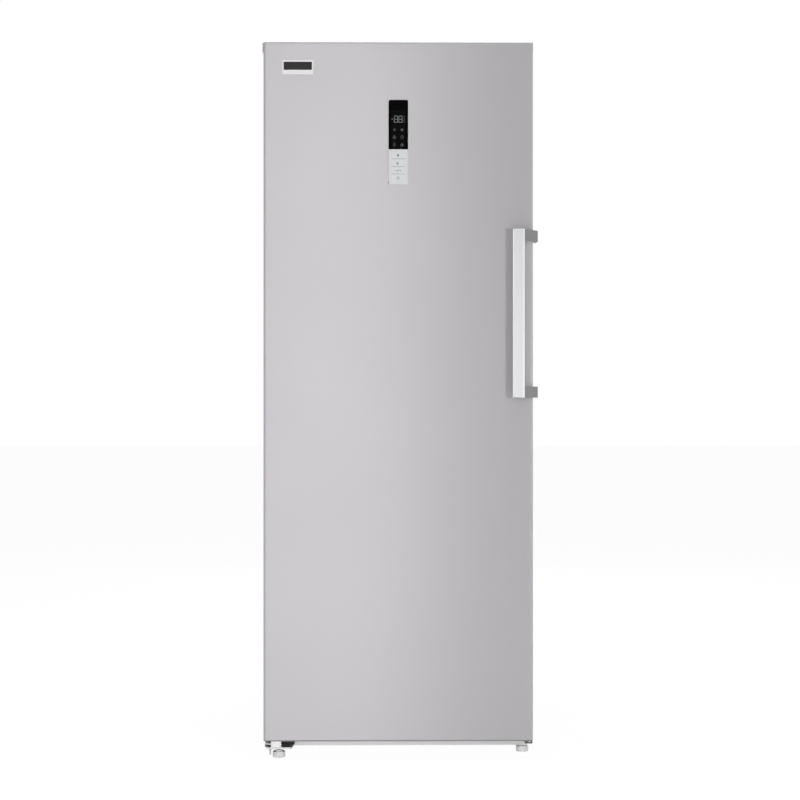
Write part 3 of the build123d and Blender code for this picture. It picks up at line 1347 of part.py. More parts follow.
def hinge_bushes():
    """Flanged bushes: one pressed down into the top cap, one up into the bottom cap."""
    end = PIN_DEPTH + BUSH_END
    bore = PIN_DEPTH + SEAT
    mouth = 2 * BUSH_FLANGE
    upper = rod_z(HINGE_X, HINGE_Y, CAP_FLOOR - end, CAP_FLOOR, BUSH_RADIUS)
    upper += rod_z(HINGE_X, HINGE_Y, CAP_FLOOR, CAP_FLOOR + BUSH_FLANGE, BOSS_RADIUS)
    upper -= rod_z(HINGE_X, HINGE_Y, CAP_FLOOR - bore, CAP_FLOOR + mouth, BUSH_BORE)
    lower = rod_z(HINGE_X, HINGE_Y, DOOR_BOTTOM, DOOR_BOTTOM + end, BUSH_RADIUS)
    lower += rod_z(HINGE_X, HINGE_Y, DOOR_BOTTOM - BUSH_FLANGE, DOOR_BOTTOM, BOSS_RADIUS)
    lower -= rod_z(HINGE_X, HINGE_Y, DOOR_BOTTOM - mouth, DOOR_BOTTOM + bore, BUSH_BORE)
    return group([upper, lower])


def door_foam():
    foam = block(-DOOR_INNER, DOOR_INNER, SKIN_BACK, LINER_FRONT, FOAM_BOTTOM, FOAM_TOP)
    foam = chamfer(front_edges(foam), SKIN_BEND)
    for side in (-1, 1):
        x0, x1 = sorted((side * HALF, side * (DOOR_INNER - SKIN_RETURN)))
        foam -= block(x0, x1, LINER_FRONT - SKIN, LINER_FRONT + 1, DOOR_BOTTOM, DOOR_TOP)
    foam -= rod_z(HINGE_X, HINGE_Y, FOAM_TOP - PIN_DEPTH, FOAM_TOP + 1, BOSS_RADIUS)
    foam -= rod_z(HINGE_X, HINGE_Y, DOOR_BOTTOM, FOAM_BOTTOM + PIN_DEPTH, BOSS_RADIUS)
    foam -= block(
        -HOUSING_HALF, HOUSING_HALF, SKIN_BACK - 1, HOUSING_BACK, HOUSING_BOTTOM, HOUSING_TOP
    )
    foam += liner_hollow()
    return foam - screw_bores(HALF - 3 * HANDLE_SCREW, HALF)


def raised_field(y0, y1, wall):
    """Sloping block of the liner's raised field, made smaller by the wall."""
    x0 = -HALF + PANEL_LEFT_INSET + wall
    x1 = HALF - PANEL_RIGHT_INSET - wall
    z0 = DOOR_BOTTOM + PANEL_END_INSET + wall
    z1 = DOOR_TOP - PANEL_END_INSET - wall
    middle = ((x0 + x1) / 2, (z0 + z1) / 2)
    sections = []
    for y, slope in ((y0, 0), (y1, PANEL_SLOPE)):
        plane = Plane(origin=(middle[0], y, middle[1]), x_dir=(1, 0, 0), z_dir=(0, -1, 0))
        face = RectangleRounded(x1 - x0 - 2 * slope, z1 - z0 - 2 * slope, PANEL_CORNER)
        sections.append(plane * face)
    return loft(sections, ruled=True)


def door_liner():
    sheet = block(-DOOR_INNER, DOOR_INNER, LINER_FRONT, DOOR_REAR, DOOR_BOTTOM, FOAM_TOP)
    sheet += raised_field(DOOR_REAR, DOOR_REAR + PANEL_RAISE, 0)
    return sheet - liner_hollow()


def liner_hollow():
    """The inside of the liner's raised field, which the door's foam fills."""
    return raised_field(LINER_FRONT, DOOR_REAR + PANEL_RAISE - DOOR_LINER, DOOR_LINER)


def door_gasket():
    """Hollow magnetic gasket: base strip, two side walls and the magnet's head."""
    half = HALF - GASKET_INSET
    z0 = DOOR_BOTTOM + GASKET_INSET
    z1 = CABINET_TOP - GASKET_INSET
    base_top = DOOR_REAR + GASKET_BASE
    head = -SEAT - GASKET_HEAD
    inset = GASKET_WALL * 2
    gasket = ring(half, z0, z1, GASKET_WIDTH, DOOR_REAR, base_top)
    for side in (inset, GASKET_WIDTH - inset - GASKET_WALL):
        gasket += ring(half - side, z0 + side, z1 - side, GASKET_WALL, base_top, head)
    width = GASKET_WIDTH - 2 * inset
    return gasket + ring(half - inset, z0 + inset, z1 - inset, width, head, -SEAT)


# ---------------------------------------------------------------- handle
BAR_RIGHT = HALF - HANDLE_EDGE
BAR_LEFT = BAR_RIGHT - HANDLE_WIDTH
BAR_FRONT = DOOR_FRONT - HANDLE_PROUD
BAR_BACK = BAR_FRONT + HANDLE_THICK
ARM_SIDE = HALF + SEAT
ARM_OUTSIDE = ARM_SIDE + ARM_THICK
ARM_LEVELS = (HANDLE_BOTTOM, HANDLE_BOTTOM + HANDLE_LENGTH - ARM_HEIGHT)
ARM_SCREW_Y = DOOR_FRONT + ARM_SCREW_BACK


def handle_bar():
    section = RectangleRounded(HANDLE_WIDTH, HANDLE_THICK, BAR_CORNER)
    section = Pos((BAR_LEFT + BAR_RIGHT) / 2, (BAR_FRONT + BAR_BACK) / 2) * section
    bar = along_z(section, HANDLE_BOTTOM, HANDLE_BOTTOM + HANDLE_LENGTH)
    ends = bar.edges().group_by(Axis.Z)
    return chamfer(ends[0] + ends[-1], BAR_END_BEVEL)


def handle_arm(z0):
    """Arm from the bar's back, round the door's corner and along its side."""
    leg_end = DOOR_FRONT + ARM_LEG
    outline = face_of(
        [
            (BAR_LEFT + ARM_ROOT, BAR_BACK),
            (BAR_RIGHT, BAR_BACK),
            (ARM_OUTSIDE, DOOR_FRONT + ARM_CORNER_BACK),
            (ARM_OUTSIDE, leg_end),
            (ARM_SIDE, leg_end),
            (ARM_SIDE, DOOR_FRONT - ARM_CORNER_FRONT),
            (BAR_RIGHT - ARM_INNER, BAR_BACK + ARM_THICK),
            (BAR_LEFT + ARM_ROOT, BAR_BACK + ARM_THICK),
        ]
    )
    arm = along_z(fillet(outline.vertices(), ARM_ROUND), z0, z0 + ARM_HEIGHT)
    rims = arm.edges().group_by(Axis.Z)
    arm = chamfer(rims[0] + rims[-1], ARM_BEVEL)
    sunk = ARM_OUTSIDE - ARM_SCREW_SINK
    for y, z in arm_screw_places(z0):
        arm -= rod_x(sunk, ARM_OUTSIDE + 1, y, z, HANDLE_SCREW_HEAD + PIN_GAP)
    return arm - screw_bores(HALF - 1, sunk + 1)


def arm_screw_places(z0):
    middle = z0 + ARM_HEIGHT / 2
    return [(ARM_SCREW_Y, middle - HANDLE_SCREW_SPREAD), (ARM_SCREW_Y, middle + HANDLE_SCREW_SPREAD)]


def all_arm_screws():
    return [place for z0 in ARM_LEVELS for place in arm_screw_places(z0)]


def screw_bores(x0, x1):
    """Bores for all handle screws between two x planes."""
    bores = [rod_x(x0, x1, y, z, HANDLE_SCREW + PIN_GAP / 2) for y, z in all_arm_screws()]
    return Part() + bores


def handle_screws():
    sunk = ARM_OUTSIDE - ARM_SCREW_SINK
    screws = []
    for y, z in all_arm_screws():
        shank = rod_x(HALF - 3 * HANDLE_SCREW, sunk, y, z, HANDLE_SCREW)
        screws.append(shank + rod_x(sunk, sunk + SCREW_HEAD_HEIGHT, y, z, HANDLE_SCREW_HEAD))
    return group(screws)


# ---------------------------------------------------------------- display, keys and badge
def display_glass():
    middle = (DISPLAY_BOTTOM + DISPLAY_TOP) / 2
    plate = Pos(0, middle) * RectangleRounded(DISPLAY_WIDTH, DISPLAY_HEIGHT, GLASS_CORNER)
    plate += Pos(0, DISPLAY_BOTTOM + GLASS_CORNER) * Rectangle(DISPLAY_WIDTH, 2 * GLASS_CORNER)
    return along_y(plate, DOOR_FRONT - GLASS, DOOR_FRONT)


def key_middle(index):
    return KEY_FRAME_TOP - KEY_DROP - KEY_HEIGHT / 2 - index * KEY_PITCH


def key_frame():
    middle = (KEY_FRAME_BOTTOM + KEY_FRAME_TOP) / 2
    plate = Pos(0, middle) * RectangleRounded(KEY_FRAME_WIDTH, KEY_FRAME_HEIGHT, FRAME_CORNER)
    for k in range(KEY_COUNT):
        window = Rectangle(KEY_WIDTH + 2 * SEAT, KEY_HEIGHT + 2 * SEAT)
        plate -= Pos(0, key_middle(k)) * window
    return along_y(plate, DOOR_FRONT - KEY_FRAME_SHEET, DOOR_FRONT)


def key(index):
    """Key cap with an ear on each side behind the frame and a stem towards the board."""
    z = key_middle(index)
    half = KEY_HEIGHT / 2
    front = DOOR_FRONT - KEY_FRAME_SHEET - KEY_PROUD
    ear_front = DOOR_FRONT + SEAT
    ear_back = ear_front + KEY_EAR_SHEET
    cap = block(-KEY_WIDTH / 2, KEY_WIDTH / 2, front, ear_back, z - half, z + half)
    ear = KEY_WIDTH / 2 + KEY_EAR
    cap += block(-ear, ear, ear_front, ear_back, z - half, z + half)
    return cap + rod_y(0, ear_back, BOARD_FRONT - KEY_TRAVEL - SEAT, z, KEY_STEM)


def display_housing():
    """Open-fronted box behind the door's window, with posts for the board."""
    half = HOUSING_HALF
    wall = HOUSING_WALL
    housing = block(-half, half, SKIN_BACK, HOUSING_BACK, HOUSING_BOTTOM, HOUSING_TOP)
    housing -= block(
        -half + wall,
        half - wall,
        SKIN_BACK - 1,
        HOUSING_BACK - wall,
        HOUSING_BOTTOM + wall,
        HOUSING_TOP - wall,
    )
    side, end = POST_INSET
    middle = (HOUSING_BOTTOM + HOUSING_TOP) / 2
    for x in (side - half, half - side):
        for z in (HOUSING_BOTTOM + end, middle, HOUSING_TOP - end):
            housing += rod_y(x, BOARD_FRONT + BOARD_SHEET, HOUSING_BACK - wall, z, POST_RADIUS)
    return housing


def display_board():
    half = HOUSING_HALF - HOUSING_WALL - SEAT
    margin = HOUSING_WALL + SEAT
    board = block(
        -half,
        half,
        BOARD_FRONT,
        BOARD_FRONT + BOARD_SHEET,
        HOUSING_BOTTOM + margin,
        HOUSING_TOP - margin,
    )
    return board


def badge_plate():
    """Bare badge plate with a shallow field."""
    x = -HALF + BADGE_LEFT + BADGE_WIDTH / 2
    top = DOOR_TOP - BADGE_DROP
    plate = Pos(x, top - BADGE_HEIGHT / 2) * RectangleRounded(BADGE_WIDTH, BADGE_HEIGHT, BADGE_CORNER)
    badge = along_y(plate, DOOR_FRONT - BADGE_SHEET, DOOR_FRONT)
    width, height, depth = BADGE_FIELD
    field = Pos(x, top - BADGE_FIELD_DROP - height / 2) * RectangleRounded(width, height, BADGE_CORNER)
    return badge - along_y(field, DOOR_FRONT - BADGE_SHEET - 1, DOOR_FRONT - BADGE_SHEET + depth)


# ---------------------------------------------------------------- all nodes
PIECES = {
    "outer_wrap": outer_wrap,
    "back_panel": back_panel,
    "bottom_plate": bottom_plate,
    "cabinet_foam": cabinet_foam,
    "inner_liner": inner_liner,
    "base_front_rail": base_front_rail,
    "base_pan": base_pan,
    "left_foot": left_foot,
    "right_foot": right_foot,
    "roller_axles": roller_axles,
    "glass_shelves": glass_shelves,
    "shelf_trims": shelf_trims,
    "duct_cover": duct_cover,
    "light_lens": light_lens,
    "evaporator": evaporator,
    "defrost_heater": defrost_heater,
    "evaporator_fan": evaporator_fan,
    "evaporator_fan_motor": evaporator_fan_motor,
    "compressor": compressor,
    "compressor_mounts": compressor_mounts,
    "condenser": condenser,
    "drip_tray": drip_tray,
    "condenser_fan": condenser_fan,
    "condenser_fan_motor": condenser_fan_motor,
    "fan_shroud": fan_shroud,
    "rear_cover": rear_cover,
    "cable_gland": cable_gland,
    "upper_hinge_bracket": upper_hinge_bracket,
    "upper_hinge_cover": upper_hinge_cover,
    "lower_hinge_bracket": lower_hinge_bracket,
    "lower_hinge_pin": lower_hinge_pin,
    "closer_block": closer_block,
    "cabinet_screws": cabinet_screws,
    "door_skin": door_skin,
    "door_top_cap": door_top_cap,
    "door_bottom_cap": door_bottom_cap,
    "hinge_bushes": hinge_bushes,
    "door_foam": door_foam,
    "door_liner": door_liner,
    "door_gasket": door_gasket,
    "handle_bar": handle_bar,
    "handle_screws": handle_screws,
    "display_glass": display_glass,
    "key_frame": key_frame,
    "display_housing": display_housing,
    "display_board": display_board,
    "badge_plate": badge_plate,
}

for node, build in PIECES.items():
    save(node, build())

save("left_roller", roller(-1))
save("right_roller", roller(1))
save("lower_handle_arm", handle_arm(ARM_LEVELS[0]))
save("upper_handle_arm", handle_arm(ARM_LEVELS[1]))
for number in range(KEY_COUNT):
    save(f"key_{number + 1}", key(number))
for number in range(DRAWER_COUNT):
    save(f"drawer_{number + 1}", drawer(number))
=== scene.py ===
import json
import math

import bmesh
import bpy
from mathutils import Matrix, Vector


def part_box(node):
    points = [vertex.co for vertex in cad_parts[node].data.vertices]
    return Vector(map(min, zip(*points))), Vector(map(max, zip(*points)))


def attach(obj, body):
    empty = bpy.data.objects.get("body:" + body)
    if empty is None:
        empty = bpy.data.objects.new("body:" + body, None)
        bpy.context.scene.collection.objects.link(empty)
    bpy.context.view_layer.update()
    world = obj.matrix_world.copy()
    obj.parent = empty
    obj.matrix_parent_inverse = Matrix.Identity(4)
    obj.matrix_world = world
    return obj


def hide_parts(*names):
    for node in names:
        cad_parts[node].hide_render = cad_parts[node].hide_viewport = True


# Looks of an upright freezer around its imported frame. Lengths are in metres, in the frame's
# own axes: +Z up, the door faces -Y, +X to the right.

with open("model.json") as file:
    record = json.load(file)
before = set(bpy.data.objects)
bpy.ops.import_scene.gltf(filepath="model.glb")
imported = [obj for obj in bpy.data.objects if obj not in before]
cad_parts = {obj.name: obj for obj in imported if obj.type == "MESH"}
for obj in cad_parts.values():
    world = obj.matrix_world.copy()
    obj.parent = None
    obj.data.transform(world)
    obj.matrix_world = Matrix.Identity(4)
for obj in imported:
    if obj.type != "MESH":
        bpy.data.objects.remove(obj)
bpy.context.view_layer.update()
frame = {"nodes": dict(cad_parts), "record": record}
nodes = frame["nodes"]

MM = 0.001

# ---------------------------------------------------------------- places read from the frame
DOOR_LOW, DOOR_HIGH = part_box("door_skin")
DOOR_FRONT = DOOR_LOW.y
DOOR_MIDDLE = (DOOR_LOW.x + DOOR_HIGH.x) / 2
GLASS_LOW, GLASS_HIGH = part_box("display_glass")

# ---------------------------------------------------------------- camera and studio
EYE_HEIGHT = 0.93207
EYE_DISTANCE = 4.4219  # in front of the door's front
EYE_LEFT = 39.8 * MM  # left of the door's middle
EYE_TURN = -0.573  # degrees, to the right
LENS = 76.71
SENSOR_WIDTH = 36
VIEW_END = 100
FLAG_GREY = 40

# place, aim, width, height and power in watts
LAMPS = (
    ((-0.45, -5.6, 1.65), (-0.45, 0, 1.65), 1.3, 3.2, 70),  # tall one before the door
    ((1.34, -3.36, 1.0), (0.1, -0.3, 1.0), 0.3, 0.3, 32),  # small one, for the handle's shadow
    ((-0.5, -1.6, 0.24), (-0.2, -0.3, 0.1), 1.3, 0.36, 1.5),  # low one before the feet
    ((0, -0.5, 5.5), (0, -0.5, 0), 1.2, 1.2, 95),  # overhead
    ((3.6, 2.9, 1.9), (0.2, 0.2, 0.9), 2.2, 2.2, 44),  # behind, at the right
    ((-4.2, 0.7, 1.9), (0, 0.1, 0.9), 2.2, 2.2, 42),  # left side
    ((0, 4.6, 1.9), (0, 0.1, 0.9), 2.6, 2.2, 30),  # behind
)


def add_camera():
    bpy.ops.object.camera_add(
        location=(DOOR_MIDDLE - EYE_LEFT, DOOR_FRONT - EYE_DISTANCE, EYE_HEIGHT),
        rotation=(math.radians(90), 0, math.radians(EYE_TURN)),
    )
    camera = bpy.context.object
    camera.data.sensor_width = SENSOR_WIDTH
    camera.data.lens = LENS
    camera.data.clip_end = VIEW_END
    bpy.context.scene.camera = camera


def add_softbox(place, aim, width, height, power):
    """Rectangular lamp that the camera can't see, turned towards a point."""
    bpy.ops.object.light_add(type="AREA", location=place)
    lamp = bpy.context.object
    lamp.data.shape = "RECTANGLE"
    lamp.data.size = width
    lamp.data.size_y = height
    lamp.data.energy = power
    turn = (Vector(aim) - Vector(place)).to_track_quat("-Z", "Y")
    lamp.rotation_euler = turn.to_euler()
    lamp.visible_camera = False


def add_flag(left, right, depth, height):
    """Dark card behind the camera that only gloss rays meet: it dims the door's right side."""
    bpy.ops.mesh.primitive_plane_add(size=1, location=(0, 0, 0))
    card = bpy.context.object
    card.name = "flag"
    card.scale = (right - left, height, 1)
    card.rotation_euler = (math.radians(90), 0, 0)
    card.location = ((left + right) / 2, depth, height / 2)
    finish = Finish("flag")
    card.data.materials.append(
        finish.surface(finish.node("ShaderNodeBsdfDiffuse", {}, {"Color": grey(FLAG_GREY)}))
    )
    card.visible_camera = False
    card.visible_diffuse = False
    card.visible_transmission = False
    card.visible_shadow = False


# ---------------------------------------------------------------- shader writing
class Signal:
    """A node's output that takes part in sums."""

    def __init__(self, finish, socket):
        self.finish = finish
        self.socket = socket

    def math(self, operation, first, second=None):
        return self.finish.node("ShaderNodeMath", {"operation": operation}, {0: first, 1: second})

    def __add__(self, other):
        return self.math("ADD", self, other)

    def __sub__(self, other):
        return self.math("SUBTRACT", self, other)

    def __mul__(self, other):
        return self.math("MULTIPLY", self, other)

    __radd__ = __add__

    def __gt__(self, other):
        return self.math("GREATER_THAN", self, other)

    def __lt__(self, other):
        return self.math("LESS_THAN", self, other)


class Finish:
    """A material, or the world, written node by node."""

    def __init__(self, name, owner=None):
        self.owner = owner or bpy.data.materials.new(name)
        self.owner.use_nodes = True
        self.tree = self.owner.node_tree
        self.tree.nodes.clear()

    def node(self, kind, settings=None, inputs=None, output=0):
        """Adds a node, sets it, fills its sockets and gives one of its outputs."""
        added = self.tree.nodes.new(kind)
        for name, value in (settings or {}).items():
            setattr(added, name, value)
        for name, value in (inputs or {}).items():
            if value is None:
                continue
            if isinstance(value, Signal):
                self.tree.links.new(value.socket, added.inputs[name])
            else:
                added.inputs[name].default_value = value
        return Signal(self, added.outputs[output])

    def here(self):
        """Object coordinates."""
        return self.node("ShaderNodeTexCoord", output="Object")

    def part(self, vector, axis):
        """One of a vector's three parts."""
        return self.node("ShaderNodeSeparateXYZ", {}, {"Vector": vector}, output=axis)

    def lean(self, axis):
        """How far the surface looks along an axis, either way, from 0 to 1."""
        look = self.node("ShaderNodeNewGeometry", output="Normal")
        return self.node("ShaderNodeMath", {"operation": "ABSOLUTE"}, {0: self.part(look, axis)})

    def place(self, stretch=(1, 1, 1)):
        """Object coordinates, stretched."""
        return self.node("ShaderNodeMapping", {}, {"Vector": self.here(), "Scale": stretch})

    def noise(self, place, scale, detail=2.0, roughness=0.5):
        return self.node(
            "ShaderNodeTexNoise",
            {},
            {"Vector": place, "Scale": scale, "Detail": detail, "Roughness": roughness},
        )

    def mix(self, factor, first, second):
        return self.node(
            "ShaderNodeMix",
            {"data_type": "RGBA"},
            {"Factor": factor, "A": first, "B": second},
            output="Result",
        )

    def bump(self, height, distance, strength):
        return self.node(
            "ShaderNodeBump", {}, {"Height": height, "Distance": distance, "Strength": strength}
        )

    def surface(self, shader):
        self.node_output("ShaderNodeOutputMaterial", shader)
        return self.owner

    def node_output(self, kind, shader):
        end = self.tree.nodes.new(kind)
        self.tree.links.new(shader.socket, end.inputs["Surface"])

    def principled(self, **values):
        """Principled surface: words in the names stand for the sockets' own words."""
        inputs = {
            name.replace("_", " ").title().replace("Ior", "IOR"): value
            for name, value in values.items()
        }
        return self.surface(self.node("ShaderNodeBsdfPrincipled", {}, inputs))


def grey(level):
    """Linear colour of an sRGB grey from 0 to 255, by the standard's own curve."""
    share = level / 255
    linear = share / 12.92 if share <= 0.04045 else ((share + 0.055) / 1.055) ** 2.4
    return (linear, linear, linear, 1)


def tint(red, green, blue):
    """Linear colour of an sRGB colour with parts from 0 to 255."""
    return (grey(red)[0], grey(green)[0], grey(blue)[0], 1)


def scaled(colour, factor):
    return (*(part * factor for part in colour[:3]), 1)


# ---------------------------------------------------------------- finishes
ALONG_X, ALONG_Y, ALONG_Z = range(3)
GRAIN_STRETCH = 0.012  # scale of the noise along a brushed grain

# in mm
WINDOW_HALF = 17.8  # half width of the lighter window in the display glass
WINDOW_DROP = 25.5  # from the glass's top down to the window
WINDOW_RISE = 3.5  # from the glass's bottom up to the window
HIGHLIGHT_DEPTH = 14  # painted highlight along the lower hinge bracket's front edge, from its front
HIGHLIGHT_HEIGHT = 4.7  # and from its underside
CORNER_FOOT_WIDTH = 22  # moulded foot in the door's lower right corner, coloured dark as painted shade
CORNER_FOOT_TOP = 45.8  # above the floor
DARK_ABOVE = 26  # height on the lower hinge pin above which it is coloured dark
CUP_INNER = 9.3  # radii of the hollow in a foot's top, where shade is painted
CUP_OUTER = 14.4
CUP_FLOOR = 14.5  # above the floor


def brushed_metal(name, colour, roughness, grain_axis, depth, lines=2400, metallic=1.0, drawn=0.0):
    """Bare metal with fine grinding lines along one axis."""
    finish = Finish(name)
    stretch = [1.0, 1.0, 1.0]
    stretch[grain_axis] = GRAIN_STRETCH
    lines_here = finish.place(stretch)
    fine = finish.noise(lines_here, lines, 3.0, 0.6)
    broad = finish.noise(finish.place(), 3.0, 2.0)
    shade = finish.mix(fine, scaled(colour, 0.97), scaled(colour, 1.03))
    rough = roughness + (fine - 0.5) * 0.12 + (broad - 0.5) * 0.05
    return finish.principled(
        base_color=shade,
        metallic=metallic,
        roughness=rough,
        anisotropic=drawn,
        anisotropic_rotation=0.25,
        normal=finish.bump(fine, depth, 0.3),
    )


def moulded_plastic(name, colour, roughness, grain=0.0004, depth=0.00001, worn=0.03):
    """Injection-moulded plastic with a fine grained skin."""
    finish = Finish(name)
    skin = finish.noise(finish.place(), 1 / grain, 2.0)
    cloud = finish.noise(finish.place(), 8.0, 3.0)
    shade = finish.mix(cloud, scaled(colour, 1 - worn), scaled(colour, 1 + worn))
    return finish.principled(
        base_color=shade,
        roughness=roughness + (cloud - 0.5) * 0.08,
        normal=finish.bump(skin, depth, 0.5),
    )


def sheet_paint(name, colour, roughness, metallic=0.0):
    """Powder-like paint on sheet steel: a slight orange peel."""
    finish = Finish(name)
    peel = finish.noise(finish.place(), 420.0, 2.0)
    cloud = finish.noise(finish.place(), 2.5, 2.0)
    shade = finish.mix(cloud, scaled(colour, 0.98), scaled(colour, 1.02))
    return finish.principled(
        base_color=shade,
        metallic=metallic,
        roughness=roughness + (cloud - 0.5) * 0.06,
        normal=finish.bump(peel, 0.00004, 0.3),
    )


def clear_plastic(name, colour, roughness, alpha):
    """See-through moulded plastic."""
    finish = Finish(name)
    ripple = finish.noise(finish.place(), 60.0, 1.0)
    return finish.principled(
        base_color=colour,
        roughness=roughness + (ripple - 0.5) * 0.04,
        ior=1.5,
        alpha=alpha,
        normal=finish.bump(ripple, 0.0001, 0.2),
    )


def zinc_sheet():
    """Galvanised sheet with large faint spangles."""
    finish = Finish("zinc_sheet")
    spangle = finish.node(
        "ShaderNodeTexVoronoi", {}, {"Vector": finish.place(), "Scale": 85.0}, output="Color"
    )
    flake = finish.node("ShaderNodeSeparateColor", {}, {"Color": spangle})
    shade = finish.mix(flake, grey(178), grey(188))
    return finish.principled(
        base_color=shade, metallic=0.7, roughness=0.46 + flake * 0.08
    )


def display_glass():
    """Black glass with a slightly lighter window over the figures."""
    finish = Finish("display_glass")
    here = finish.here()
    x, z = finish.part(here, "X"), finish.part(here, "Z")
    middle = (GLASS_LOW.x + GLASS_HIGH.x) / 2
    top = GLASS_HIGH.z - WINDOW_DROP * MM
    bottom = GLASS_LOW.z + WINDOW_RISE * MM
    half = WINDOW_HALF * MM
    inside = (x > middle - half) * (x < middle + half) * (z > bottom) * (z < top)
    shade = finish.mix(inside, grey(2), grey(13))
    return finish.principled(
        base_color=shade, roughness=0.2 + inside * 0.1, specular_ior_level=0.008
    )


def lit_figure(name, level, glow):
    """Lamp-lit mark behind dark glass, a little uneven in its brightness."""
    finish = Finish(name)
    cloud = finish.noise(finish.place(), 900.0, 1.0)
    shade = finish.mix(cloud, grey(level - 6), grey(level + 6))
    return finish.principled(
        base_color=shade, roughness=0.25, emission_color=shade, emission_strength=glow
    )


def bare_badge():
    """Dark anodised plate with a fine lengthwise grain."""
    finish = Finish("badge_dark")
    grain = finish.noise(finish.place((0.02, 1, 1)), 3000.0, 2.0)
    cloud = finish.noise(finish.place(), 30.0, 2.0)
    shade = finish.mix(grain, grey(34), grey(44))
    return finish.principled(
        base_color=shade,
        metallic=0.1,
        specular_ior_level=0.15,
        roughness=0.4 + (cloud - 0.5) * 0.08,
        normal=finish.bump(grain, 0.000006, 0.4),
    )


def hinge_steel():
    """Dark hinge steel with a painted highlight along the lower bracket's front edge."""
    finish = Finish("hinge_steel")
    here = finish.here()
    depth, height = finish.part(here, "Y"), finish.part(here, "Z")
    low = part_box("lower_hinge_bracket")[0]
    # painted highlight: near the plate's front and underside, faces that are not flat are coloured
    # near white for the light the edge catches
    cut = (depth < low.y + HIGHLIGHT_DEPTH * MM) * (height < low.z + HIGHLIGHT_HEIGHT * MM)
    painted_highlight = cut * (finish.lean("Z") < 0.5)
    peel = finish.noise(finish.place(), 420.0, 2.0)
    cloud = finish.noise(finish.place(), 24.0, 2.0)
    dark = finish.mix(cloud, grey(82), grey(98))
    return finish.principled(
        base_color=finish.mix(painted_highlight, dark, grey(240)),
        roughness=0.42 + (cloud - 0.5) * 0.1 - painted_highlight * 0.08,
        normal=finish.bump(peel, 0.00003, 0.3),
    )


def bottom_cap():
    """Grey cap, darker than the top cap as painted shade under the door, with deeper painted shade on
    its moulded corner foot.
    """
    finish = Finish("bottom_cap")
    here = finish.here()
    x, z = finish.part(here, "X"), finish.part(here, "Z")
    # painted shade: the corner foot is coloured dark grey for the shade it sits in
    corner = (x > DOOR_HIGH.x - CORNER_FOOT_WIDTH * MM) * (z < CORNER_FOOT_TOP * MM)
    skin = finish.noise(finish.place(), 2500.0, 2.0)
    cloud = finish.noise(finish.place(), 8.0, 3.0)
    # painted shade: this grey is darker than the top cap's, for the shade under the door
    shade = finish.mix(cloud, grey(138), grey(146))
    return finish.principled(
        base_color=finish.mix(corner, shade, grey(84)),
        roughness=0.45 + (cloud - 0.5) * 0.08,
        normal=finish.bump(skin, 0.00001, 0.5),
    )


def hinge_pin():
    """Pin coloured dark above its plate, light on the tail below it."""
    finish = Finish("hinge_pin")
    # the pin is coloured dark above this height and light below it
    dark_above_plate = finish.part(finish.here(), "Z") > DARK_ABOVE * MM
    turned = finish.noise(finish.place((1, 1, 40)), 60.0, 2.0)
    shade = finish.mix(turned, grey(196), grey(210))
    return finish.principled(
        base_color=finish.mix(dark_above_plate, shade, grey(70)),
        metallic=0.5,
        roughness=0.35 + (turned - 0.5) * 0.1,
    )


def foot_finish():
    """White foot with painted shade in the hollow round its sleeve."""
    finish = Finish("foot_white")
    here = finish.here()
    flat = finish.node(
        "ShaderNodeVectorMath", {"operation": "MULTIPLY"}, {0: here, 1: (1, 1, 0)}
    )
    rings = []
    for node in ("left_foot", "right_foot"):
        low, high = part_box(node)
        middle = ((low.x + high.x) / 2, (low.y + high.y) / 2, 0)
        far = finish.node(
            "ShaderNodeVectorMath",
            {"operation": "DISTANCE"},
            {0: flat, 1: middle},
            output="Value",
        )
        rings.append((far > CUP_INNER * MM) * (far < CUP_OUTER * MM))
    # painted shade: in the hollow round each sleeve the foot is coloured dark grey
    painted_hollow_shade = (rings[0] + rings[1]) * (finish.part(here, "Z") > CUP_FLOOR * MM)
    skin = finish.noise(finish.place(), 2500.0, 2.0)
    cloud = finish.noise(finish.place(), 30.0, 3.0)
    return finish.principled(
        base_color=finish.mix(painted_hollow_shade, finish.mix(cloud, grey(238), grey(250)), grey(96)),
        roughness=0.4 + (cloud - 0.5) * 0.1,
        normal=finish.bump(skin, 0.00001, 0.4),
    )


def handle_bar_finish():
    """Satin aluminium bar, brushed along its length, with a painted highlight on its side bevels."""
    finish = Finish("handle_aluminium")
    lean = finish.lean("X")
    # painted highlight: faces that lean sideways, the bevels, are coloured near white for the light
    # they catch
    painted_bevel_highlight = (lean > 0.12) * (lean < 0.97)
    fine = finish.noise(finish.place((1, 1, GRAIN_STRETCH)), 2400.0, 3.0, 0.6)
    satin = finish.mix(fine, tint(193, 193, 195), tint(200, 200, 202))
    return finish.principled(
        base_color=finish.mix(painted_bevel_highlight, satin, grey(246)),
        metallic=0.2,
        roughness=0.4 + (fine - 0.5) * 0.12,
        normal=finish.bump(fine, 0.00001, 0.3),
    )


def rail_paint():
    """Light metallic paint on the rail under the door, which mirrors the floor softly."""
    finish = Finish("rail_paint")
    flake = finish.noise(finish.place(), 2600.0, 2.0)
    cloud = finish.noise(finish.place(), 6.0, 2.0)
    return finish.principled(
        base_color=finish.mix(flake, grey(190), grey(201)),
        metallic=0.85,
        roughness=0.4 + (cloud - 0.5) * 0.1,
        normal=finish.bump(flake, 0.000008, 0.3),
    )


def door_steel():
    """Satin steel of the door, with its grain drawn from side to side."""
    colour = tint(182, 179, 183)
    return brushed_metal("door_steel", colour, 0.39, ALONG_X, 0.00001, metallic=0.2, drawn=0.95)


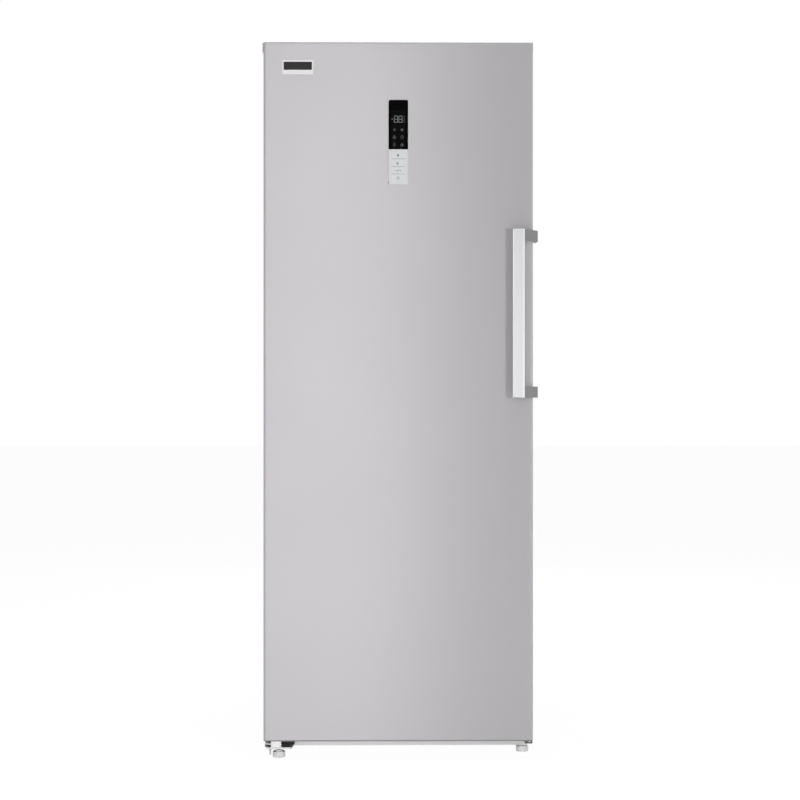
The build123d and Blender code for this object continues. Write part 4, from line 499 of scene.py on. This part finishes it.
FINISHES = {
    "door_steel": door_steel,
    "cabinet_paint": lambda: sheet_paint("cabinet_paint", grey(172), 0.5, 0.1),
    "zinc_sheet": zinc_sheet,
    "hinge_steel": hinge_steel,
    "fastener_steel": lambda: brushed_metal("fastener_steel", grey(190), 0.3, ALONG_Z, 0.000005, 800),
    "foam": lambda: moulded_plastic("foam", tint(222, 205, 160), 0.9, 0.002, 0.0003, 0.08),
    "liner_white": lambda: moulded_plastic("liner_white", grey(236), 0.25, 0.003, 0.00002, 0.01),
    "cap_grey": lambda: moulded_plastic("cap_grey", grey(142), 0.45),
    "white_nylon": lambda: moulded_plastic("white_nylon", grey(250), 0.35),
    "foot_plastic": foot_finish,
    "black_plastic": lambda: moulded_plastic("black_plastic", grey(34), 0.5),
    "gasket_rubber": lambda: moulded_plastic("gasket_rubber", grey(172), 0.6),
    "mount_rubber": lambda: moulded_plastic("mount_rubber", grey(30), 0.7),
    "shelf_glass": lambda: clear_plastic("shelf_glass", tint(205, 232, 226), 0.03, 0.3),
    "drawer_clear": lambda: clear_plastic("drawer_clear", tint(228, 234, 236), 0.22, 0.42),
    "lens_clear": lambda: moulded_plastic("lens_clear", grey(240), 0.2),
    "black_glass": display_glass,
    "handle_aluminium": handle_bar_finish,
    "arm_silver": lambda: moulded_plastic("arm_silver", grey(143), 0.42),
    "key_silver": lambda: moulded_plastic("key_silver", tint(222, 223, 225), 0.4),
    "badge_silver": lambda: moulded_plastic("badge_silver", grey(246), 0.4),
    "board_green": lambda: moulded_plastic("board_green", tint(30, 96, 52), 0.4),
    "coil_aluminium": lambda: brushed_metal("coil_aluminium", grey(205), 0.35, ALONG_X, 0.00001),
    "heater_steel": lambda: brushed_metal("heater_steel", grey(170), 0.35, ALONG_X, 0.00001),
    "motor_steel": lambda: brushed_metal("motor_steel", grey(160), 0.45, ALONG_Y, 0.00001),
    "machine_black": lambda: sheet_paint("machine_black", grey(28), 0.25),
}

EXTRA_FINISHES = {
    "top_cap": lambda: moulded_plastic("top_cap", grey(176), 0.45),
    "screw": lambda: brushed_metal("screw_zinc", grey(196), 0.32, ALONG_Z, 0.000004, 900),
    "bottom_cap": bottom_cap,
    "pin": hinge_pin,
    "pale": lambda: moulded_plastic("pale_stud", grey(226), 0.35),
    "gap": lambda: moulded_plastic("key_gap", grey(150), 0.5),
    "rail": rail_paint,
    "lit": lambda: lit_figure("lit_figures", 112, 0.03),
    "faint": lambda: lit_figure("faint_symbols", 58, 0.0),
    "ink": lambda: moulded_plastic("sign_ink", grey(118), 0.5),
    "ring": lambda: moulded_plastic("panel_ring", grey(205), 0.4),
    "badge_dark": bare_badge,
}

# nodes whose finish differs from the rest of their material slot
OWN_FINISHES = {
    "base_front_rail": "rail",
    "door_bottom_cap": "bottom_cap",
    "door_top_cap": "top_cap",
    "lower_hinge_pin": "pin",
}


def finish_frame():
    """Gives every CAD node the finish of its material slot."""
    finishes = {slot: make() for slot, make in FINISHES.items()}
    for entry in frame["record"]["subparts"]:
        for slot in nodes[entry["node"]].material_slots:
            slot.material = finishes[entry["material_slot"]]


# ---------------------------------------------------------------- shaping by hand
SMOOTH_ANGLE = 35  # degrees
SAME_PLACE = 0.00001
SAME_DIRECTION = 0.99  # product of two unit vectors that count as one direction


def on_door(x, out, z):
    """Place by mm right of the door's middle, in front of its front, and above the floor."""
    return Vector((DOOR_MIDDLE + x * MM, DOOR_FRONT - out * MM, z * MM))


def fresh():
    bpy.ops.object.select_all(action="DESELECT")


def alone(piece):
    """Selects one piece and makes it the active one."""
    fresh()
    piece.select_set(True)
    bpy.context.view_layer.objects.active = piece


def settle():
    """Makes the selected pieces' place, turn and size part of their meshes."""
    bpy.ops.object.transform_apply(location=True, rotation=True, scale=True)


def block(name, low, high, turn=(0, 0, 0)):
    """Box between two corners, turned about its middle, ready to be shaped."""
    fresh()
    low, high = Vector(low), Vector(high)
    size = [abs(part) for part in high - low]
    bpy.ops.mesh.primitive_cube_add(size=1, location=(low + high) / 2, rotation=turn, scale=size)
    settle()
    bpy.context.object.name = name
    return bpy.context.object


def peg(name, middle, radius, length, sides, turn=(0, 0, 0)):
    """Round bar about a middle point, ready to be shaped."""
    fresh()
    bpy.ops.mesh.primitive_cylinder_add(
        vertices=sides, radius=radius, depth=length, location=middle, rotation=turn
    )
    settle()
    bpy.context.object.name = name
    return bpy.context.object


def choose(kind, test):
    """In edit mode, selects just the faces or edges that pass a test."""
    bpy.ops.mesh.select_mode(type=kind)
    bpy.ops.mesh.select_all(action="DESELECT")
    mesh = bmesh.from_edit_mesh(bpy.context.object.data)
    for item in mesh.faces if kind == "FACE" else mesh.edges:
        if test(item):
            item.select_set(True)
    bmesh.update_edit_mesh(bpy.context.object.data)


def along(axis):
    """Test for edges that run along an axis."""
    axis = Vector(axis)

    def test(edge):
        run = edge.verts[1].co - edge.verts[0].co
        return abs(run.normalized().dot(axis)) > SAME_DIRECTION

    return test


def facing(axis):
    """Test for faces that look along an axis."""
    axis = Vector(axis)
    return lambda face: face.normal.dot(axis) > SAME_DIRECTION


def level_with(axis, place):
    """Test for faces or edges whose points all lie at one place along an axis."""
    return lambda item: all(abs(point.co[axis] - place) < SAME_PLACE for point in item.verts)


def edit():
    bpy.ops.object.mode_set(mode="EDIT")


def leave():
    bpy.ops.object.mode_set(mode="OBJECT")


def bevel(width, segments=3):
    bpy.ops.mesh.bevel(offset=width, segments=segments, affect="EDGES")


def sink_front(rim, slope, depth):
    """Sets the shaped plate's front back inside a rim, down a narrow slope; sizes in mm."""
    edit()
    choose("FACE", facing((0, -1, 0)))
    bpy.ops.mesh.inset(thickness=rim * MM, depth=0)
    bpy.ops.mesh.inset(thickness=slope * MM, depth=-depth * MM)
    leave()


def place_piece(piece, body, finish):
    """Gives a shaped piece its body, its finish and smooth round faces."""
    alone(piece)
    bpy.ops.object.shade_smooth_by_angle(angle=math.radians(SMOOTH_ANGLE))
    piece.data.materials.clear()
    piece.data.materials.append(finish)
    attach(piece, body)


def joined(name, parts):
    """Several shapes made one piece."""
    fresh()
    for part in parts:
        part.select_set(True)
    bpy.context.view_layer.objects.active = parts[0]
    bpy.ops.object.join()
    parts[0].name = name
    return parts[0]


def copied(piece, shift):
    """A copy with its own mesh, moved by a step in metres."""
    alone(piece)
    bpy.ops.object.duplicate()
    bpy.ops.transform.translate(value=shift)
    settle()
    return bpy.context.object


def front_plate(name, low, high, corner, rim):
    """Plate that faces forward, with rounded corners and a softened rim, both in mm."""
    piece = block(name, low, high)
    front = min(low[1], high[1])
    edit()
    choose("EDGE", along((0, 1, 0)))
    bevel(corner * MM, 6)
    choose("EDGE", level_with(1, front))
    bevel(rim * MM)
    leave()
    return piece


# ---------------------------------------------------------------- printed marks
MARK_RISE = 0.06  # mm that a printed mark stands proud
STROKE_ROUND = 0.48  # rounding of a stroke's ends, as a share of its width


def stroke(start, end, width, out):
    """Rounded stroke from one point to another, as x and height in mm, on a face at some depth."""
    run = Vector((end[0] - start[0], end[1] - start[1]))
    length = run.length + width
    middle = on_door((start[0] + end[0]) / 2, out + MARK_RISE / 2, (start[1] + end[1]) / 2)
    half = Vector((length, MARK_RISE, width)) * MM / 2
    slope = math.atan2(run.y, run.x)
    piece = block("stroke", middle - half, middle + half, (0, -slope, 0))
    edit()
    choose("EDGE", along((0, 1, 0)))
    bevel(width * STROKE_ROUND * MM, 3)
    leave()
    return piece


def loop(middle, radius, width, out):
    """Flat ring mark."""
    fresh()
    bpy.ops.mesh.primitive_torus_add(
        major_segments=28,
        minor_segments=6,
        major_radius=radius * MM,
        minor_radius=width * MM / 2,
        location=on_door(middle[0], out, middle[1]),
        rotation=(math.radians(90), 0, 0),
    )
    bpy.ops.transform.resize(value=(1, MARK_RISE * 2 / width, 1))
    settle()
    return bpy.context.object


def strokes(points, width, out):
    """Strokes through a row of points."""
    return [stroke(a, b, width, out) for a, b in zip(points, points[1:])]


def ray(length, turn):
    """Sideways and upward parts of a line, turned by degrees."""
    return length * math.cos(math.radians(turn)), length * math.sin(math.radians(turn))


def snow_star(x, z, reach, ring, pen, ring_pen, out):
    """Three crossed strokes with a ring round their middle."""
    marks = []
    for turn in (30, 90, 150):
        c, s = ray(reach, turn)
        marks.append(stroke((x - c, z - s), (x + c, z + s), pen, out))
    return marks + [loop((x, z), ring, ring_pen, out)]


# ---------------------------------------------------------------- display panel, in mm
GLASS_OUT = 1.2  # from the door's front to the glass's face
DIGIT_WIDTH = 8.6
DIGIT_HEIGHT = 16.2
DIGIT_STROKE = 1.15
DIGIT_PITCH = 11.6
DIGIT_MIDDLE = (-6.1, 1660.3)
MINUS = (-10.9, -8.2)  # its ends, from the first figure's middle
UNIT_RIGHT = 9.4  # unit mark, from the second figure's middle
UNIT_RISE = 8.0
SIGN_LEFT, SIGN_RIGHT = -10.1, 9.6  # columns of the faint signs
SIGN_ROWS = (1632.7, 1613.8, 1594.6)
THIN = 0.75  # line of the faint signs
RING_HALF = 27.3  # line round the display and the keys
RING_LOW, RING_TOP = 1490.2, 1712.3
RING_OUT = 0.75


def figure_eight():
    """One figure with all its seven bars lit."""
    x, z = DIGIT_MIDDLE
    half, rise = DIGIT_WIDTH / 2, DIGIT_HEIGHT / 2
    gap = DIGIT_STROKE * 0.62
    bars = []
    for level in (-rise, 0, rise):
        bars.append(((x - half + gap, z + level), (x + half - gap, z + level)))
    for side in (-half, half):
        for low in (-rise, 0):
            bars.append(((x + side, z + low + gap), (x + side, z + low + rise - gap)))
    return joined("figure", [stroke(a, b, DIGIT_STROKE, GLASS_OUT) for a, b in bars])


def add_figures(finishes):
    """Two lit figures after a minus."""
    first = figure_eight()
    second = copied(first, (DIGIT_PITCH * MM, 0, 0))
    x, z = DIGIT_MIDDLE
    minus = stroke((x + MINUS[0], z), (x + MINUS[1], z), 1.5, GLASS_OUT)
    figures = joined("display_figures", [first, second, minus])
    place_piece(figures, "door", finishes["lit"])


def unit_mark():
    """Open bracket at the right of the figures."""
    x = DIGIT_MIDDLE[0] + DIGIT_PITCH + UNIT_RIGHT
    top, low = DIGIT_MIDDLE[1] + UNIT_RISE, DIGIT_MIDDLE[1] - UNIT_RISE
    return strokes([(x + 2.4, top), (x, top - 2), (x, low + 2), (x + 2.4, low)], 0.9, GLASS_OUT)


def drop_sign(x, z):
    right = [(x + 1.3, z - 3), (x + 2.4, z - 0.5), (x, z + 4)]
    return strokes([(x, z + 4), (x - 2.4, z - 0.5), (x - 1.3, z - 3)] + right, 1.1, GLASS_OUT)


def fan_sign(x, z):
    marks = [loop((x, z), 4.0, THIN, GLASS_OUT)]
    for turn in (90, 210, 330):
        c, s = ray(2.5, turn)
        marks.append(stroke((x, z), (x + c, z + s), 1.3, GLASS_OUT))
    return marks


def clock_sign(x, z):
    hands = [(x, z + 2.6), (x, z), (x + 1.9, z - 1.1)]
    return [loop((x, z), 4.2, THIN, GLASS_OUT)] + strokes(hands, THIN, GLASS_OUT)


def bell_sign(x, z):
    left = [(x - 4, z - 2.4), (x - 2.4, z - 0.8), (x - 2, z + 2.2), (x, z + 3.8)]
    right = [(x + 2, z + 2.2), (x + 2.4, z - 0.8), (x + 4, z - 2.4), (x - 4, z - 2.4)]
    marks = strokes(left + right, THIN, GLASS_OUT)
    marks.append(stroke((x - 0.9, z - 4), (x + 0.9, z - 4), THIN, GLASS_OUT))
    return marks


def padlock_sign(x, z):
    body = [(x - 3, z - 4), (x - 3, z + 0.6), (x + 3, z + 0.6), (x + 3, z - 4), (x - 3, z - 4)]
    return strokes(body, 1.0, GLASS_OUT) + [loop((x, z + 1.6), 2.1, THIN, GLASS_OUT)]


def add_display_signs(finishes):
    """Unit mark and two columns of faint signs."""
    top, middle, low = SIGN_ROWS
    marks = unit_mark()
    marks += drop_sign(SIGN_LEFT, top)
    marks += snow_star(SIGN_RIGHT, top, 4.4, 2.0, THIN, THIN, GLASS_OUT)
    marks += fan_sign(SIGN_LEFT, middle)
    marks += clock_sign(SIGN_RIGHT, middle)
    marks += bell_sign(SIGN_LEFT, low)
    marks += padlock_sign(SIGN_RIGHT, low)
    place_piece(joined("display_symbols", marks), "door", finishes["faint"])


def add_panel_ring(finishes):
    """Fine line round the display and the keys."""
    low, high = on_door(-RING_HALF, 0.0, RING_LOW), on_door(RING_HALF, RING_OUT, RING_TOP)
    ring = front_plate("panel_ring", low, high, corner=1.6, rim=0.35)
    sink_front(rim=1.55, slope=0.1, depth=0.6)
    place_piece(ring, "door", finishes["ring"])


# ---------------------------------------------------------------- keys, in mm
KEY_OUT = 1.6  # from the door's front to a key's face
KEY_SIGN_ROWS = (1566.4, 1545.6, 1527.3, 1508.6)
KEY_PEN = 0.9
KEY_PITCH = 19.6
FIRST_GAP = 1557.6  # height of the joint under the first key
GAP_LEFT, GAP_RIGHT = -17, 17.6
GAP_WIDTH = 1.0
GAP_OUT = 1.0


def key_padlock(z):
    low, high = on_door(-3.6, KEY_OUT, z - 2.8), on_door(1.8, KEY_OUT + MARK_RISE, z + 1.6)
    body = front_plate("lock", low, high, corner=0.7, rim=0.02)
    return [body, loop((-0.9, z + 1.9), 1.8, KEY_PEN, KEY_OUT)]


def key_snow_star(z):
    return snow_star(-2.2, z, 4.2, 2.1, KEY_PEN * 0.8, KEY_PEN * 0.7, KEY_OUT)


def key_level(z):
    """Three rising bars between a minus and a plus."""
    marks = [stroke((-10.4, z), (-7.6, z), KEY_PEN, KEY_OUT)]
    for step, x in enumerate((-4.2, -1.4, 1.4)):
        marks.append(stroke((x, z - 1.8), (x, z - 0.4 + step * 1.1), KEY_PEN * 1.5, KEY_OUT))
    marks.append(stroke((4.4, z), (7.8, z), KEY_PEN, KEY_OUT))
    marks.append(stroke((6.1, z - 1.7), (6.1, z + 1.7), KEY_PEN, KEY_OUT))
    return marks


def key_triangle(z):
    """Triangle over a line."""
    points = [(-4.4, z - 1.2), (-0.6, z + 3.2), (3.2, z - 1.2), (-4.4, z - 1.2)]
    marks = strokes(points, KEY_PEN, KEY_OUT)
    marks.append(stroke((-4.2, z - 4.2), (3.0, z - 4.2), KEY_PEN, KEY_OUT))
    return marks


def add_key_signs(finishes):
    """A sign on each key, which moves with it."""
    makers = (key_padlock, key_snow_star, key_level, key_triangle)
    signs = [make(z) for make, z in zip(makers, KEY_SIGN_ROWS)]
    for number, parts in enumerate(signs, 1):
        sign = joined(f"key_{number}_sign", parts)
        place_piece(sign, f"key_{number}", finishes["ink"])


def add_key_gaps(finishes):
    """Grey joints between the keys."""
    first = stroke((GAP_LEFT, FIRST_GAP), (GAP_RIGHT, FIRST_GAP), GAP_WIDTH, GAP_OUT)
    gaps = [first] + [copied(first, (0, 0, -KEY_PITCH * step * MM)) for step in (1, 2)]
    place_piece(joined("key_gaps", gaps), "door", finishes["gap"])


# ---------------------------------------------------------------- stud and badge, in mm
STUD_PLACE = (341.4, -7.2, 43.7)
STUD_FRONT = -6.4
STUD_RADIUS = 2.7
STUD_LENGTH = 1.6
INSERT_LOW = (-297.4, 0.9, 1787.9)
INSERT_HIGH = (-224.0, 1.32, 1808.8)


def add_corner_stud(finishes):
    """Pale oval stud on the front of the door's corner foot."""
    turn = (math.radians(90), 0, 0)
    middle = on_door(*STUD_PLACE)
    stud = peg("corner_stud", middle, STUD_RADIUS * MM, STUD_LENGTH * MM, 24, turn)
    edit()
    choose("EDGE", level_with(1, on_door(0, STUD_FRONT, 0).y))
    bevel(0.5 * MM)
    bpy.ops.mesh.select_all(action="SELECT")
    bpy.ops.transform.resize(value=(1, 1, 0.5))
    leave()
    place_piece(stud, "door", finishes["pale"])


def add_badge(finishes):
    """Dark plate in the badge's field, left bare, with a fine raised line round it."""
    low, high = on_door(*INSERT_LOW), on_door(*INSERT_HIGH)
    insert = front_plate("badge_insert", low, high, corner=2.4, rim=0.12)
    sink_front(rim=0.7, slope=0.1, depth=0.1)
    place_piece(insert, "door", finishes["badge_dark"])


# ---------------------------------------------------------------- screws, in mm
HEAD_HEIGHT = 2.2
HEAD_BEVEL = 1.1
STEM_OVERLAP = 0.2  # stem inside the head
RECESS_REACH = 0.62  # shares of the head's radius
RECESS_HALF = 0.17
RECESS_DEPTH = 1.4
RECESS_TAPER = 0.45  # size of the cutter's floor, as a share of its top
CUTTER_RISE = 0.5  # above the head
UPPER_DEPTH = 72  # behind the door's front, where the upper bracket's screws count from
UPPER_SCREWS = ((-306, 22), (-306, 72), (-280, 22))
LOWER_DEPTH = 67
LOWER_HEIGHT = 38.25
LOWER_SCREWS = (-282.5, -300)
COVER_SCREWS_X = (-339, 339)
COVER_SCREWS_Z = (45, 275)
ARM_SCREWS_Z = (944.5, 960.5, 1349.5, 1365.5)


def crossed_screw(radius, neck, shank):
    """Pan-head screw with a cross recess, head upwards, its head's underside at the origin."""
    head = peg("screw", (0, 0, HEAD_HEIGHT * MM / 2), radius * MM, HEAD_HEIGHT * MM, sides=40)
    edit()
    choose("EDGE", level_with(2, HEAD_HEIGHT * MM))
    bevel(HEAD_BEVEL * MM, 4)
    leave()
    stem_middle = (0, 0, (STEM_OVERLAP - shank) * MM / 2)
    stem = peg("stem", stem_middle, neck * MM, (shank + STEM_OVERLAP) * MM, sides=20)
    reach, slim = radius * RECESS_REACH * MM, radius * RECESS_HALF * MM
    top = HEAD_HEIGHT * MM + CUTTER_RISE * MM
    floor = top - RECESS_DEPTH * MM - CUTTER_RISE * MM
    cutters = []
    for turn in (0, math.radians(90)):
        blade = block("blade", (-reach, -slim, floor), (reach, slim, top), (0, 0, turn))
        edit()
        choose("FACE", facing((0, 0, -1)))
        bpy.ops.transform.resize(value=(RECESS_TAPER, RECESS_TAPER, 1))
        leave()
        cutters.append(blade)
    for blade in cutters:
        alone(head)
        cut =head.modifiers.new("recess", "BOOLEAN")
        cut.operation = "DIFFERENCE"
        cut.object = blade
        bpy.ops.object.modifier_apply(modifier=cut.name)
        bpy.data.objects.remove(blade, do_unlink=True)
    return joined("screw", [head, stem])


def driven(screw, place, axis):
    """A copy of the screw, turned from upwards to an axis and set at its place."""
    alone(screw)
    bpy.ops.object.duplicate()
    copy = bpy.context.object
    copy.rotation_euler = Vector(axis).to_track_quat("Z", "Y").to_euler()
    copy.location = place
    settle()
    return copy


def add_screws(finishes):
    """The crossed screws of both hinge brackets, the rear cover and the handle's arms."""
    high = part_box("cabinet_screws")[1]
    master = crossed_screw(radius=5.0, neck=2.5, shank=1.0)
    under = high.z - HEAD_HEIGHT * MM
    behind = high.y - HEAD_HEIGHT * MM
    spots = [on_door(x, -UPPER_DEPTH - back, 0) for x, back in UPPER_SCREWS]
    places = [((spot.x, spot.y, under), (0, 0, 1)) for spot in spots]
    places += [(on_door(x, -LOWER_DEPTH, LOWER_HEIGHT), (0, -1, 0)) for x in LOWER_SCREWS]
    places += [
        ((DOOR_MIDDLE + x * MM, behind, z * MM), (0, 1, 0))
        for x in COVER_SCREWS_X
        for z in COVER_SCREWS_Z
    ]
    heads = joined("bracket_and_cover_screws", [driven(master, *spot) for spot in places])
    place_piece(heads, "cabinet", finishes["screw"])
    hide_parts("cabinet_screws")
    bpy.data.objects.remove(master, do_unlink=True)

    low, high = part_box("handle_screws")
    master = crossed_screw(radius=3.7, neck=2.0, shank=21.0)
    side = high.x - HEAD_HEIGHT * MM
    depth = (low.y + high.y) / 2
    arms = joined(
        "handle_arm_screws",
        [driven(master, (side, depth, z * MM), (1, 0, 0)) for z in ARM_SCREWS_Z],
    )
    place_piece(arms, "door", finishes["screw"])
    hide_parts("handle_screws")
    bpy.data.objects.remove(master, do_unlink=True)


# ---------------------------------------------------------------- world and floor
WHITE = (1, 1, 1, 1)
SKY_LIGHT = 0.1  # the world's light on the object; seen directly the world is plain white
FLOOR_SIZE = 60
FLOOR_GREY = 238
FLOOR_GLOW = 1.03
GLOW_SHARE = 0.94  # glow times share stays under 1, so that the floor can show a shadow


def white_rays(finish):
    """1 for rays that should meet the plain white background: from the eye, or by gloss or glass."""
    path = {
        name: finish.node("ShaderNodeLightPath", output=name)
        for name in ("Is Camera Ray", "Is Glossy Ray", "Is Transmission Ray")
    }
    rays = path["Is Camera Ray"] + path["Is Glossy Ray"] + path["Is Transmission Ray"]
    return finish.node("ShaderNodeMath", {"operation": "MINIMUM"}, {0: rays, 1: 1.0})


def make_world():
    world = Finish("studio", bpy.data.worlds.new("studio"))
    bpy.context.scene.world = world.owner
    soft = world.node("ShaderNodeBackground", {}, {"Color": WHITE, "Strength": SKY_LIGHT})
    white = world.node("ShaderNodeBackground", {}, {"Color": WHITE, "Strength": 1.0})
    both = world.node("ShaderNodeMixShader", {}, {0: white_rays(world), 1: soft, 2: white})
    world.node_output("ShaderNodeOutputWorld", both)


def make_floor():
    """Wide pale floor that shows white and keeps a faint shadow."""
    bpy.ops.mesh.primitive_plane_add(size=FLOOR_SIZE, location=(0, 0, 0))
    floor = bpy.context.object
    floor.name = "floor"
    finish = Finish("floor")
    matt = finish.node("ShaderNodeBsdfDiffuse", {}, {"Color": grey(FLOOR_GREY)})
    glow = finish.node("ShaderNodeEmission", {}, {"Color": WHITE, "Strength": FLOOR_GLOW})
    share = white_rays(finish) * GLOW_SHARE
    floor.data.materials.append(
        finish.surface(finish.node("ShaderNodeMixShader", {}, {0: share, 1: matt, 2: glow}))
    )


# ---------------------------------------------------------------- the scene
fresh()
add_camera()
make_world()
make_floor()
finish_frame()
extra = {name: make() for name, make in EXTRA_FINISHES.items()}
for node, name in OWN_FINISHES.items():
    nodes[node].material_slots[0].material = extra[name]
add_figures(extra)
add_display_signs(extra)
add_panel_ring(extra)
add_key_signs(extra)
add_badge(extra)
add_key_gaps(extra)
add_corner_stud(extra)
add_screws(extra)
for lamp in LAMPS:
    add_softbox(*lamp)
add_flag(left=0.45, right=5.0, depth=-6.0, height=4.2)

bpy.context.scene.view_settings.view_transform = "Standard"
